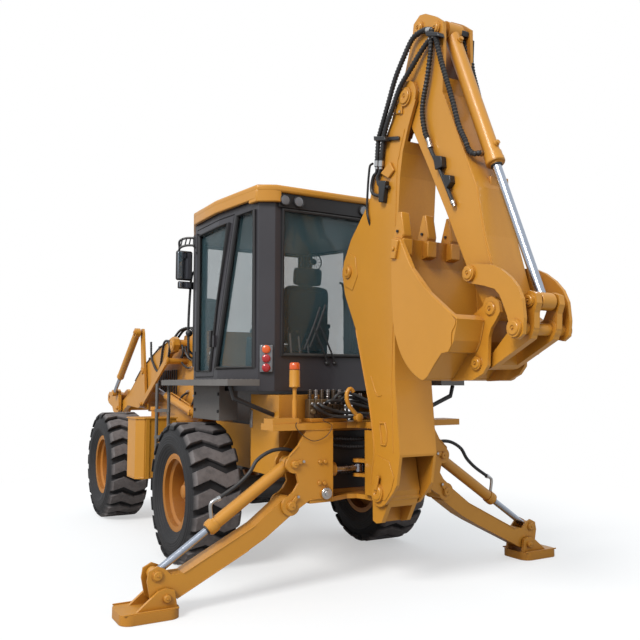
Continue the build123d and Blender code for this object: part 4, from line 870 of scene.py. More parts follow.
# Rear valve bank: cast sections bolted side by side, with spring caps in front and hoses that
# leave from their backs and tops down to the swing post.
valve_steel = enamel("valve casting", (0.120, 0.078, 0.034), 0.45, shade=0.30, dust=0.20, edge=0.003,
                     patch=6.0)
foot = slab("valve_foot", oblong((-0.475, -1.220), (-0.175, -1.115)), "z", 1.141, 1.168, "chassis",
            yellow_coat, 0.004)
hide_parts("valve_bank")
for k, x in enumerate((-0.446, -0.398, -0.350, -0.302, -0.254, -0.206)):
    slab(f"valve_section_{k}", oblong((x - 0.0225, -1.190), (x + 0.0225, -1.125)), "z", 1.168, 1.300,
         "chassis", valve_steel, 0.004)
    turned(f"valve_cap_{k}", [(0, 0), (0, 0.019), (0.030, 0.019), (0.034, 0.015), (0.040, 0.015), (0.041, 0)],
           spot(x, -1.178, 1.215), (0, -1, 0), "chassis", valve_steel, sides=20)
    coil = []
    for j in range(73):
        turn = 2 * math.pi * j / 12
        coil.append((x + 0.014 * math.cos(turn), -1.158 + 0.014 * math.sin(turn), 1.300 + 0.065 * j / 72))
    tube(f"valve_spring_{k}", coil, 0.0028, "chassis", bright_steel if k % 2 else valve_steel,
         straight=True, sides=6)
    tube(f"valve_link_{k}", [(x, -1.158, 1.298), (x, -1.158, 1.369)], 0.005, "chassis", bright_steel, sides=8)
    turned(f"valve_port_{k}",
           [(0, 0), (0, 0.013), (0.014, 0.013), (0.016, 0.010), (0.030, 0.010), (0.030, 0)],
           spot(x, -1.189, 1.268), (0, -1, 0), "chassis", bright_steel, sides=6)
for k, (start, mid_one, mid_two, end) in enumerate((
        ((-0.446, -1.217, 1.268), (-0.440, -1.246, 1.240), (-0.300, -1.238, 1.182), (-0.060, -1.300, 1.175)),
        ((-0.398, -1.217, 1.268), (-0.390, -1.248, 1.250), (-0.250, -1.240, 1.210), (-0.045, -1.310, 1.195)),
        ((-0.350, -1.217, 1.268), (-0.335, -1.246, 1.290), (-0.200, -1.236, 1.280), (-0.030, -1.305, 1.235)),
        ((-0.302, -1.217, 1.268), (-0.270, -1.244, 1.330), (-0.150, -1.228, 1.340), (-0.012, -1.300, 1.270)),
        ((-0.254, -1.217, 1.268), (-0.215, -1.240, 1.310), (-0.090, -1.230, 1.300), (0.008, -1.298, 1.230)),
        ((-0.206, -1.217, 1.268), (-0.160, -1.240, 1.285), (-0.050, -1.236, 1.270), (0.028, -1.300, 1.205)))):
    turned(f"swing_guide_{k}", [(0, 0), (0, 0.016), (0.020, 0.016), (0.022, 0.0)], spot(*end), (0, -1, 0),
           "swing_post", bright_steel, sides=6)
    tube(f"swing_hose_{k}", [start, mid_one, mid_two, end], 0.0125, "chassis", black_rubber,
         bend=("swing_post", mid_two, end))

# Stabiliser frame: bolt heads, keeper plates over the pins, the boom lock's hook with its
# wire, and a capped pressure port on the left lobe.
for side_name, side in (("left", -1), ("right", 1)):
    for k, (x, z) in enumerate(((0.441, 0.877), (0.401, 0.875), (0.446, 0.734), (0.406, 0.731))):
        turned(f"frame_bolt_{side_name}_{k}",
               [(0, 0), (0, 0.015), (0.010, 0.015), (0.012, 0.012), (0.012, 0.0)],
               spot(side * x, -1.290, z), (0, -1, 0), "chassis", yellow_coat, sides=6)
    for k, (start, end) in enumerate((((0.642, 0.874), (0.578, 0.886)), ((0.668, 0.596), (0.619, 0.655)))):
        a, b = Vector((side * start[0], 0, start[1])), Vector((side * end[0], 0, end[1]))
        across_bar = Vector((-(b - a).z, 0, (b - a).x)).normalized() * 0.013
        slab(f"frame_keeper_{side_name}_{k}",
             [((a + across_bar).x, (a + across_bar).z), ((b + across_bar).x, (b + across_bar).z),
              ((b - across_bar).x, (b - across_bar).z), ((a - across_bar).x, (a - across_bar).z)], "y",
             -1.302, -1.290, "chassis", yellow_coat, 0.003)
        turned(f"frame_keeper_bolt_{side_name}_{k}", [(0, 0), (0, 0.010), (0.008, 0.010), (0.009, 0.0)],
               spot(b.x - side * 0.004, -1.302, b.z), (0, -1, 0), "chassis", bright_steel, sides=6)
    turned(f"pressure_cap_{side_name}",
           [(0, 0), (0, 0.040), (0.010, 0.040), (0.014, 0.036), (0.014, 0.020), (0.022, 0.018),
            (0.024, 0.0)], spot(side * 0.396, -1.302, 0.663), (0, -1, 0), "chassis", bright_steel)
    for k, (x0, z0, x1, z1) in enumerate(((0.340, 1.095, 0.548, 1.095), (0.604, 0.990, 0.674, 0.926),
                                          (0.340, 0.634, 0.520, 0.626))):
        tube(f"frame_weld_{side_name}_{k}",
             [(side * x0, -1.290, z0), (side * (x0 + x1) / 2, -1.291, (z0 + z1) / 2),
              (side * x1, -1.290, z1)], 0.0045, "chassis", yellow_coat, rib=0.18, sides=6)
tube("lock_hook",
     [(-0.190, -1.327, 1.352), (-0.212, -1.327, 1.374), (-0.240, -1.327, 1.352), (-0.244, -1.327, 1.300),
      (-0.222, -1.327, 1.250), (-0.186, -1.327, 1.212), (-0.150, -1.327, 1.176), (-0.132, -1.327, 1.145)],
     0.0155, "chassis", yellow_coat, sides=14)
turned("lock_hook_pin", [(-0.020, 0), (-0.020, 0.030), (0.020, 0.030), (0.024, 0.024), (0.024, 0)],
       spot(-0.150, -1.327, 1.172), (0, -1, 0), "chassis", yellow_coat)
tube("lock_wire",
     [(-0.624, -1.296, 1.148), (-0.633, -1.300, 1.120), (-0.578, -1.304, 1.060), (-0.494, -1.304, 1.020),
      (-0.399, -1.304, 1.049), (-0.351, -1.304, 1.120), (-0.420, -1.300, 1.165), (-0.230, -1.306, 1.190)],
     0.0024, "chassis", black_rubber, sides=6)
for k, x in enumerate((-0.165, -0.138, -0.110)):
    turned(f"port_fitting_{k}",
           [(0, 0), (0, 0.011), (0.016, 0.011), (0.018, 0.008), (0.034, 0.008), (0.036, 0.0)],
           spot(x, -1.080, 1.342), (0, -1, 0), "chassis", bright_steel, sides=6)
turned("drain_tube", [(0, 0), (0, 0.013), (0.020, 0.013), (0.024, 0.009), (0.075, 0.009), (0.078, 0.0)],
       spot(-0.052, -1.200, 1.340), (0, 0, -1), "chassis", bright_steel, sides=16)

# Recess between the frame plates behind the boom: a dark plate that is painted shade, standing in for the
# shadow in the recess, and three hoses that cross it, each sagging a little differently.
slab("recess_shadow_plate", oblong((-0.330, 0.660), (0.330, 1.070)), "y", -1.131, -1.124, "chassis", black_plastic,
     0.002)
for k, (z, sag) in enumerate(((1.030, 0.020), (0.985, 0.030), (0.790, 0.012))):
    tube(f"recess_hose_{k}", [(-0.325, -1.152, z), (-0.110, -1.158, z - sag), (0.110, -1.158, z - sag),
                              (0.325, -1.152, z)], 0.014, "chassis", black_rubber, rib=0.15, step=0.012)

# Stabiliser rams: a hose from the valve bank to the lower end of each barrel, with swivel
# elbows, gland rings and grease nipples.
for side_name, side in (("left", -1), ("right", 1)):
    barrel = f"stabiliser_{side_name}_barrel"
    hose = [(side * x, y, z) for x, y, z in (
        (0.520, -1.205, 1.010), (0.585, -1.215, 0.955), (0.691, -1.215, 0.968), (0.786, -1.215, 0.955),
        (0.879, -1.215, 0.902), (0.935, -1.215, 0.823), (1.024, -1.215, 0.747), (1.150, -1.210, 0.672))]
    tube(f"leg_hose_{side_name}", hose, 0.013, "chassis", black_rubber,
         bend=(barrel, (side * 0.585, -1.215, 0.955), (side * 0.935, -1.215, 0.823)))
    tube(f"leg_elbow_{side_name}",
         [(side * 1.143, -1.210, 0.675), (side * 1.185, -1.207, 0.656), (side * 1.200, -1.203, 0.628),
          (side * 1.190, -1.198, 0.545)], 0.012, barrel, bright_steel, sides=12)
    turned(f"leg_swivel_{side_name}", [(0, 0), (0, 0.018), (0.022, 0.018), (0.024, 0.0)],
           spot(side * 1.138, -1.210, 0.677), (side * 0.92, 0, -0.38), barrel, bright_steel, sides=6)
    way = Vector((side * (1.558 - 0.637), 0, 0.249 - 0.869)).normalized()
    base = spot(side * 0.637, -1.195, 0.869)
    turned(f"leg_gland_{side_name}",
           [(0, 0.0), (0, 0.046), (0.006, 0.050), (0.040, 0.050), (0.046, 0.044), (0.058, 0.040),
            (0.060, 0.0265), (0.061, 0.0)], base + way * 0.640, way, barrel, yellow_coat)
    turned(f"leg_wiper_{side_name}", [(0, 0.0), (0, 0.032), (0.008, 0.031), (0.010, 0.025), (0.010, 0.0)],
           base + way * 0.700, way, barrel, black_rubber)
    rod = turned(f"leg_rod_{side_name}", [(0, 0), (0, 0.024), (0.560, 0.024), (0.560, 0)],
                 base + way * 0.545, way, f"stabiliser_{side_name}_rod", rod_chrome, sides=48)
    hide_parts(f"stabiliser_rod_{side_name}")
    turned(f"leg_rod_eye_{side_name}",
           [(-0.040, 0), (-0.040, 0.036), (-0.037, 0.039), (0.037, 0.039), (0.040, 0.036), (0.040, 0)],
           spot(side * 1.558, -1.195, 0.249), (0, 1, 0), f"stabiliser_{side_name}_rod", yellow_coat)
    for k, (x, z, r, rear) in enumerate(((0.662, 0.597, 0.030, -1.304), (0.637, 0.869, 0.025, -1.304),
                                         (1.558, 0.249, 0.028, -1.270), (1.507, 0.117, 0.023, -1.306))):
        turned(f"leg_pin_{side_name}_{k}",
               [(0, 0), (0, r), (0.004, r), (0.007, r - 0.004), (0.007, 0.006), (0.014, 0.005),
                (0.015, 0.0)], spot(side * x, rear, z), (0, -1, 0),
               ("chassis", "chassis", f"stabiliser_leg_{side_name}", f"stabiliser_pad_{side_name}")[k],
               yellow_coat, sides=24)
    for k, (start, end) in enumerate((((0.905, 0.488), (1.390, 0.245)), ((0.955, 0.335), (1.435, 0.099)))):
        tube(f"leg_weld_{side_name}_{k}",
             [(side * start[0], -1.262, start[1]), (side * end[0], -1.262, end[1])], 0.004,
             f"stabiliser_leg_{side_name}", yellow_coat, sides=6, straight=True)
    pad_body = f"stabiliser_pad_{side_name}"
    for k, y in enumerate((-1.325, -1.065)):
        slab(f"pad_rib_{side_name}_{k}", oblong((side * 1.775, 0.058), (side * 1.440, 0.068)), "y",
             y - 0.004, y + 0.004, pad_body, yellow_coat, 0.002)

# Pins of the arms: hardened bars held by keeper plates, each with a grease nipple. Their end
# faces are painted over with everything else.
PINS = [
    # name, y, z, face at x, radius, body
    ("foot", -1.573, 0.685, 0.1680, 0.050, "swing_post"), ("tip", -1.923, 3.291, 0.164, 0.048, "boom"),
    ("boom_ram", -1.211, 2.222, 0.166, 0.036, "boom"), ("crowd_eye", -2.035, 3.720, 0.132, 0.034, "dipper"),
    ("bucket_ram", -2.205, 3.645, 0.132, 0.034, "dipper"), ("side_link", -2.548, 2.034, 0.198, 0.036, "dipper"),
    ("link", -2.890, 1.700, 0.196, 0.038, "side_links"), ("dipper_end", -2.676, 1.822, 0.153, 0.036, "dipper"),
    ("bucket_ear", -2.562, 1.524, 0.164, 0.030, "bucket"), ("rod_eye", -2.922, 1.847, 0.114, 0.028, "bucket_link"),
    ("loader_arm", 1.530, 1.810, 0.563, 0.050, "front_body"), ("lever", 2.450, 1.550, 0.596, 0.034, "loader_arms"),
    ("lever_top", 2.520, 1.985, 0.674, 0.024, "level_levers"), ("lever_foot", 2.386, 1.184, 0.626, 0.022, "level_links"),
    ("nose", 3.450, 1.110, 0.611, 0.024, "nose_pins"),
]
for label, y, z, face_x, r, body in PINS:
    for side_name, side in (("left", -1), ("right", 1)):
        turned(f"pin_{label}_{side_name}",
               [(-0.002, 0), (-0.002, r), (0.003, r), (0.007, r - 0.004), (0.007, r * 0.42),
                (0.003, r * 0.36), (0.003, 0.006), (0.011, 0.005), (0.012, 0.0)], spot(side * face_x, y, z),
               (side, 0, 0), body, yellow_coat, sides=28)
slab("foot_keeper", [(-1.590, 0.700), (-1.556, 0.705), (-1.584, 0.800), (-1.618, 0.795)], "x", -0.181, -0.169,
     "swing_post", yellow_coat, 0.003)
slab("tip_keeper", [(-1.813, 3.286), (-1.891, 3.262), (-1.889, 3.187), (-1.821, 3.209)], "x", -0.161,
     -0.149, "boom", yellow_coat, 0.004)
for k, (y, z) in enumerate(((-1.835, 3.272), (-1.870, 3.207))):
    turned(f"tip_keeper_bolt_{k}", [(0, 0), (0, 0.009), (0.007, 0.009), (0.008, 0.0)], spot(-0.161, y, z),
           (-1, 0, 0), "boom", bright_steel, sides=6)

# Boom: weld seams along its plates, a window of weld metal at the knee, a stiffening rib, and
# the black steel tubes that end at clamps where the hoses of the dipper begin.
for side_name, side in (("left", -1), ("right", 1)):
    tube(f"boom_seam_{side_name}",
         [(side * 0.150, y, z) for y,
          z in ((-1.745, 0.960), (-1.735, 1.434), (-1.765, 1.958), (-1.812, 2.778), (-1.845, 2.930),
                (-1.905, 3.080))], 0.0045, "boom", yellow_coat, rib=0.2, sides=6)
    tube(f"boom_rib_{side_name}", [(side * 0.150, y, z) for y, z in (
        (-1.488, 1.461), (-1.560, 1.334), (-1.617, 1.331))], 0.004, "boom", yellow_coat, sides=6)
    slab(f"boom_doubler_{side_name}",
         [(-1.545, 0.640), (-1.655, 0.640), (-1.720, 0.715), (-1.755, 0.800), (-1.700, 0.900),
          (-1.560, 0.930), (-1.515, 0.860), (-1.500, 0.720)], "x", *sorted((side * 0.1495, side * 0.1545)),
         "boom", yellow_coat, 0.002)
    slab(f"boom_knee_plate_{side_name}", [(-1.130, 2.222), (-1.165, 2.120), (-1.260, 2.080), (-1.330, 2.180),
                                          (-1.300, 2.320), (-1.210, 2.360), (-1.150, 2.310)], "x",
         *sorted((side * 0.1495, side * 0.1545)), "boom", yellow_coat, 0.002)
for side_name, side in (("left", -1), ("right", 1)):
    slot_ring = [(side * 0.151, y, z) for y,
                 z in ((-1.600, 1.149), (-1.655, 1.146), (-1.672, 1.100), (-1.672, 1.030), (-1.660, 1.004),
                       (-1.615, 1.004), (-1.610, 1.060), (-1.598, 1.110))]
    tube(f"boom_slot_{side_name}", slot_ring + slot_ring[:1], 0.007, "boom", yellow_coat, straight=True,
         sides=8)
    tube(f"boom_edge_bead_{side_name}",
         [(side * 0.150, y, z) for y,
          z in ((-1.478, 0.720), (-1.502, 0.850), (-1.521, 0.985), (-1.477, 1.228), (-1.416, 1.435),
                (-1.303, 1.791))], 0.0055, "boom", yellow_coat, sides=8)
turned("boom_cross", [(-0.128, 0), (-0.128, 0.022), (0.128, 0.022), (0.128, 0)], spot(0, -1.640, 0.655),
       (1, 0, 0), "boom", yellow_coat)
slab("boom_hook_rib", [(-1.645, 2.845), (-1.755, 2.896), (-1.798, 2.827), (-1.735, 2.790)], "x", -0.168,
     -0.150, "boom", yellow_coat, 0.004)
black_tube = enamel("black pipe", (0.018, 0.018, 0.020), 0.35, shade=0.15, dust=0.06, edge=0)
PIPES = [
    [(-0.168, -1.609, 2.900), (-0.168, -1.601, 2.860), (-0.168, -1.563, 2.842), (-0.168, -1.539, 2.772),
     (-0.168, -1.565, 2.717), (-0.168, -1.694, 2.672)],
    [(-0.168, -1.658, 2.890), (-0.168, -1.638, 2.851), (-0.168, -1.615, 2.819), (-0.168, -1.637, 2.762),
     (-0.168, -1.748, 2.723)],
    [(-0.162, -1.547, 2.940), (-0.162, -1.512, 2.933), (-0.162, -1.496, 2.871), (-0.162, -1.482, 2.775),
     (-0.162, -1.471, 2.635), (-0.162, -1.489, 2.554), (-0.120, -1.480, 2.480)],
]
for k, line in enumerate(PIPES):
    tube(f"boom_pipe_{k}", line, 0.012 if k < 2 else 0.008, "boom", black_tube)
slab("boom_clamp_low", [(-1.647, 2.791), (-1.728, 2.772), (-1.699, 2.630), (-1.645, 2.642)], "x", -0.186,
     -0.150, "boom", black_tube, 0.005)
slab("boom_clamp_top", [(-1.610, 3.112), (-1.746, 3.070), (-1.752, 3.038), (-1.616, 3.078)], "x", -0.200,
     -0.150, "boom", black_tube, 0.005)
slab("boom_clamp_arm", [(-1.740, 3.075), (-1.851, 3.045), (-1.855, 3.020), (-1.744, 3.048)], "x", -0.166,
     -0.150, "boom", black_tube, 0.003)

# Hoses from boom to dipper: two armoured loops over the elbow.
LOOPS = [
    [(-.17, -1.609, 2.895), (-.172, -1.617, 2.958), (-.176, -1.640, 3.080), (-.182, -1.685, 3.152),
     (-.185, -1.767, 3.285), (-.182, -1.850, 3.437), (-.172, -1.941, 3.562), (-.155, -2.016, 3.656),
     (-.142, -2.116, 3.667), (-.138, -2.185, 3.640)],
    [(-.17, -1.658, 2.882), (-.172, -1.668, 2.944), (-.174, -1.697, 3.064), (-.178, -1.733, 3.138),
     (-.182, -1.812, 3.239), (-.178, -1.894, 3.359), (-.168, -1.999, 3.447), (-.152, -2.095, 3.536),
     (-.142, -2.162, 3.580), (-.138, -2.215, 3.590)],
]
for k, line in enumerate(LOOPS):
    tube(f"elbow_hose_{k}", line, 0.0165, "boom", black_rubber, rib=0.16, step=0.011,
         bend=("dipper", (-.176, -1.700, 3.090), (-.160, -2.050, 3.600)))
    for j in (0, -1):
        way = spot(*line[j]) - spot(*line[1 if j == 0 else -2])
        turned(f"elbow_hose_{k}_end_{'low' if j == 0 else 'top'}",
               [(-0.045, 0), (-0.045, 0.019), (-0.006, 0.019), (-0.004, 0.014), (0.012, 0.014), (0.014, 0.0)],
               spot(*line[j]), way, "boom" if j == 0 else "dipper", bright_steel, sides=18)

# Hoses on the dipper: spiral-wrapped lines held by clamps, ending at a steel pipe on the side
# and at the bucket ram's ports.
WRAPPED = [
    [(-.138, -2.195, 3.635), (-.150, -2.192, 3.594), (-.150, -2.185, 3.499), (-.150, -2.146, 3.334),
     (-.150, -2.104, 3.208), (-.150, -2.094, 3.111), (-.148, -2.116, 2.994), (-.145, -2.145, 2.936)],
    [(-.138, -2.225, 3.590), (-.150, -2.242, 3.550), (-.145, -2.271, 3.426), (-.140, -2.320, 3.271),
     (-.130, -2.362, 3.123), (-.125, -2.408, 2.957), (-.120, -2.461, 2.843), (-.110, -2.475, 2.790),
     (-.100, -2.503, 2.757), (-.060, -2.518, 2.762)],
    [(.060, -2.195, 3.677), (.090, -2.218, 3.608), (.110, -2.237, 3.528), (.120, -2.260, 3.450),
     (.122, -2.268, 3.386), (.120, -2.300, 3.280), (.100, -2.345, 3.180), (.060, -2.372, 3.120)],
]
for k, line in enumerate(WRAPPED):
    tube(f"dipper_hose_{k}", line, 0.0155, "dipper", black_rubber, rib=0.17, step=0.011)
turned("dipper_fitting",
       [(0, 0), (0, 0.016), (0.016, 0.016), (0.018, 0.013), (0.042, 0.013), (0.046, 0.017), (0.064, 0.017),
        (0.066, 0)], spot(-.145, -2.142, 2.944), (0.05, -0.27, -0.96), "dipper", bright_steel, sides=16)
tube("dipper_pipe", [(-.141, -2.155, 2.885), (-.140, -2.262, 2.690), (-.140, -2.365, 2.487)], 0.0125,
     "dipper", black_tube)
turned("dipper_pipe_tip", [(0, 0), (0, 0.015), (0.022, 0.015), (0.024, 0.010), (0.040, 0.010), (0.041, 0)],
       spot(-.140, -2.360, 2.497), (0, -0.47, -0.88), "dipper", bright_steel, sides=16)
for k, outline in enumerate(((((-2.203, 2.820), (-2.283, 2.793), (-2.289, 2.725), (-2.223, 2.722))),
                             (((-2.281, 2.679), (-2.359, 2.655), (-2.365, 2.611), (-2.329, 2.582))))):
    slab(f"pipe_bracket_{k}", list(outline), "x", -0.160, -0.119, "dipper", black_tube, 0.004)
slab("hose_clamp_left", [(-2.150, 3.640), (-2.280, 3.578), (-2.292, 3.545), (-2.165, 3.600)], "x", -0.172,
     -0.118, "dipper", black_tube, 0.006)
slab("hose_bracket_right",
     [(-2.205, 3.620), (-2.272, 3.600), (-2.270, 3.581), (-2.257, 3.400), (-2.235, 3.400)], "x", 0.120,
     0.140, "dipper", black_tube, 0.005)
slab("hose_clamp_right", [(-2.195, 3.690), (-2.268, 3.648), (-2.262, 3.612), (-2.185, 3.650)], "x", 0.040,
     0.118, "dipper", black_tube, 0.006)
turned("ram_port", [(0, 0), (0, 0.018), (0.024, 0.018), (0.026, 0.0)], spot(-0.062, -2.518, 2.762),
       (1, 0, 0), "dipper", bright_steel, sides=6)
for k, (x, y, z) in enumerate(((0.024, -2.470, 2.600), (0.110, -2.470, 2.600))):
    slab(f"bucket_stop_{k}", oblong((x - 0.028, z - 0.030), (x + 0.028, z + 0.030)), "y", -2.545, -2.500,
         "dipper", yellow_coat, 0.006)
for side_name, side in (("left", -1), ("right", 1)):
    tube(f"dipper_seam_{side_name}",
         [(side * 0.120, y, z) for y,
          z in ((-2.270, 3.190), (-2.395, 2.905), (-2.490, 2.680), (-2.545, 2.550), (-2.605, 2.250),
                (-2.700, 1.930))], 0.0045, "dipper", yellow_coat, rib=0.2, sides=6)
    slab(f"dipper_doubler_{side_name}", [(-1.850, 3.340), (-1.880, 3.200), (-1.975, 3.190), (-2.035, 3.290),
                                         (-1.990, 3.385), (-1.905, 3.400)], "x",
         *sorted((side * 0.1195, side * 0.1245)), "dipper", yellow_coat, 0.002)

# Bucket: two-part teeth (a welded adapter and a cap driven on it), side cutters, weld seams in
# the corners and wear bars on the shell.
for k, x in enumerate((-0.285, -0.095, 0.095, 0.285)):
    slab(f"tooth_cap_{k}",
         [(-2.110, 2.330), (-2.084, 2.472), (-2.060, 2.472), (-2.000, 2.330), (-2.006, 2.310),
          (-2.102, 2.310)], "x", x - 0.034, x + 0.034, "bucket", yellow_coat, 0.008, segments=3)
    slab(f"tooth_adapter_{k}", [(-2.104, 2.200), (-2.112, 2.300), (-1.998, 2.300), (-2.004, 2.180)], "x",
         x - 0.037, x + 0.037, "bucket", yellow_coat, 0.006)
    turned(f"tooth_pin_{k}", [(-0.046, 0), (-0.046, 0.009), (0.046, 0.009), (0.046, 0.0)],
           spot(x, -2.055, 2.352), (1, 0, 0), "bucket", black_tube, sides=12)
for side_name, side in (("left", -1), ("right", 1)):
    slab(f"side_cutter_{side_name}", [(-2.048, 2.300), (-2.030, 2.180), (-2.080, 2.172), (-2.112, 2.282)],
         "x", *sorted((side * 0.3445, side * 0.368)), "bucket", yellow_coat, 0.005)
    turned(f"cutter_bolt_{side_name}", [(0, 0), (0, 0.013), (0.008, 0.013), (0.010, 0.009), (0.010, 0.0)],
           spot(side * 0.368, -2.070, 2.235), (side, 0, 0), "bucket", yellow_coat, sides=6)
    tube(f"shell_seam_{side_name}",
         [(side * 0.320, y, z) for y,
          z in ((-2.044, 2.143), (-2.058, 1.768), (-2.112, 1.628), (-2.190, 1.530), (-2.292, 1.460))],
         0.006, "bucket", yellow_coat, rib=0.15, sides=6)
    tube(f"side_crease_{side_name}",
         [(side * 0.345, y, z) for y,
          z in ((-2.110, 2.286), (-2.225, 2.092), (-2.384, 1.930), (-2.626, 1.760))], 0.005, "bucket",
         yellow_coat, sides=8)
    tube(f"ear_seam_{side_name}",
         [(side * 0.154, y, z) for y,
          z in ((-2.300, 1.438), (-2.350, 1.446), (-2.492, 1.586), (-2.549, 1.589), (-2.590, 1.648),
                (-2.622, 1.750))], 0.006, "bucket", yellow_coat, rib=0.18, sides=6)
for k, (y, z, y2, z2) in enumerate(((-2.037, 1.800, -2.094, 1.612), (-2.094, 1.606, -2.178, 1.503))):
    for j, x in enumerate((-0.240, -0.080, 0.080, 0.240)):
        slab(f"wear_bar_{k}_{j}", [(y, z), (y2, z2), (y2 + 0.009, z2 - 0.004), (y + 0.009, z - 0.004)], "x",
             x - 0.030, x + 0.030, "bucket", yellow_coat, 0.002)

# Bucket skins: the shell is rolled plate, so a smooth outer sheet and rounded side plates are
# laid over its straight facets and welded along their edges.
def rolled(points, step=0.02):
    """Smooth line through flat (y, z) points."""
    knots = [Vector(p) for p in points]
    ends = [knots[0] * 2 - knots[1]] + knots + [knots[-1] * 2 - knots[-2]]
    line = []
    for a, b, c, d in zip(ends, ends[1:], ends[2:], ends[3:]):
        count = max(2, math.ceil((c - b).length / step))
        for k in range(count):
            t = k / count
            line.append(0.5 * (2 * b + (c - a) * t + (2 * a - 5 * b + 4 * c - d) * t * t
                               + (3 * b - a - 3 * c + d) * t ** 3))
    return line + [knots[-1]]


shell_outer = rolled([(-2.020, 2.143), (-2.017, 1.950), (-2.034, 1.762), (-2.090, 1.612), (-2.176, 1.505),
                      (-2.292, 1.431), (-2.350, 1.437)])
shell_inner = [p + Vector((-0.016 if p.x > -2.2 else -0.002, 0.010)) for p in shell_outer]
slab("bucket_shell", [tuple(p) for p in shell_outer] + [tuple(p) for p in reversed(shell_inner)], "x",
     -0.345, 0.345, "bucket", yellow_coat, 0.0)
for side_name, side in (("left", -1), ("right", 1)):
    outer = rolled([(-2.046, 2.312), (-2.022, 2.143), (-2.020, 1.950), (-2.038, 1.762), (-2.095, 1.616),
                    (-2.180, 1.509), (-2.292, 1.436), (-2.352, 1.442), (-2.425, 1.515), (-2.492, 1.578)])
    inner = rolled([(-2.580, 1.690), (-2.612, 1.752), (-2.520, 1.835), (-2.384, 1.935), (-2.225, 2.096),
                    (-2.110, 2.290)])
    slab(f"bucket_cheek_{side_name}",
         [tuple(p) for p in outer] + [(-2.548, 1.584), (-2.575, 1.620)] + [tuple(p) for p in inner], "x",
         *sorted((side * 0.3445, side * 0.3505)), "bucket", yellow_coat, 0.0015)

# Linkage: the rams' gland rings and their base ports, and spacer collars beside the links.
RAMS = [
    # name, base (y, z), rod pin (y, z), barrel length, barrel radius, rod radius, x places
    ("boom", (-1.532, 1.032), (-1.211, 2.222), 0.960, 0.058, 0.030, (0.0,)),
    ("crowd", (-1.400, 2.560), (-2.035, 3.720), 0.700, 0.054, 0.028, (0.0,)),
    ("bucket", (-2.205, 3.645), (-2.922, 1.847), 1.030, 0.054, 0.027, (0.0,)),
    ("lift", (1.190, 1.120), (2.350, 1.350), 0.820, 0.044, 0.025, (-0.445, 0.445)),
    ("tilt", (2.520, 1.985), (3.470, 1.294), 0.850, 0.040, 0.022, (-0.638, 0.638)),
]
for label, base, eye, length, barrel_r, rod_r, places in RAMS:
    way = Vector((0, eye[0] - base[0], eye[1] - base[1])).normalized()
    for x in places:
        tag = f"{label}_{'left' if x < 0 else 'right' if x > 0 else 'middle'}"
        root = spot(x, *base)
        turned(f"gland_{tag}", [(0, 0), (0, barrel_r), (0.004, barrel_r + 0.003), (0.030, barrel_r + 0.003),
                                (0.034, barrel_r), (0.034, rod_r + 0.012), (0.046, rod_r + 0.010),
                                (0.048, rod_r + 0.002), (0.048, 0.0)], root + way * (length - 0.036), way,
               f"{label}_barrel", yellow_coat)
        turned(f"wiper_ring_{tag}",
               [(0, 0), (0, rod_r + 0.008), (0.006, rod_r + 0.007), (0.008, rod_r + 0.001), (0.008, 0.0)],
               root + way * (length + 0.012), way, f"{label}_barrel", black_rubber)
        reach = (Vector((0, eye[0], eye[1])) - Vector((0, base[0], base[1]))).length
        rod = turned(f"rod_{tag}",
                     [(0, 0), (0, rod_r), (reach - length + 0.19, rod_r), (reach - length + 0.19, 0)],
                     root + way * (length - 0.20), way, f"{label}_rod", rod_chrome, sides=48)
        if x <= 0:
            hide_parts(f"{label}_rods" if label in ("lift", "tilt") else f"{label}_rod")
        normal = Vector((0, -way.z, way.y)) if label != "bucket" else Vector((0, way.z, -way.y))
        for k, along in enumerate((0.110, length - 0.110)):
            turned(f"port_{tag}_{k}",
                   [(0, 0), (0, 0.020), (0.010, 0.020), (0.012, 0.014), (0.026, 0.014), (0.028, 0.0)],
                   root + way * along + normal * (barrel_r - 0.010), normal, f"{label}_barrel", yellow_coat,
                   sides=12)
        pipe = [root + way * 0.120 + normal * (barrel_r + 0.012),
                root + way * 0.200 + normal * (barrel_r + 0.016),
                root + way * (length - 0.200) + normal * (barrel_r + 0.016),
                root + way * (length - 0.110) + normal * (barrel_r + 0.012)]
        if label in ("lift", "tilt"):
            tube(f"ram_pipe_{tag}", [(p.x, p.y - REAR_AXLE, p.z) for p in pipe], 0.007, f"{label}_barrel",
                 yellow_coat)

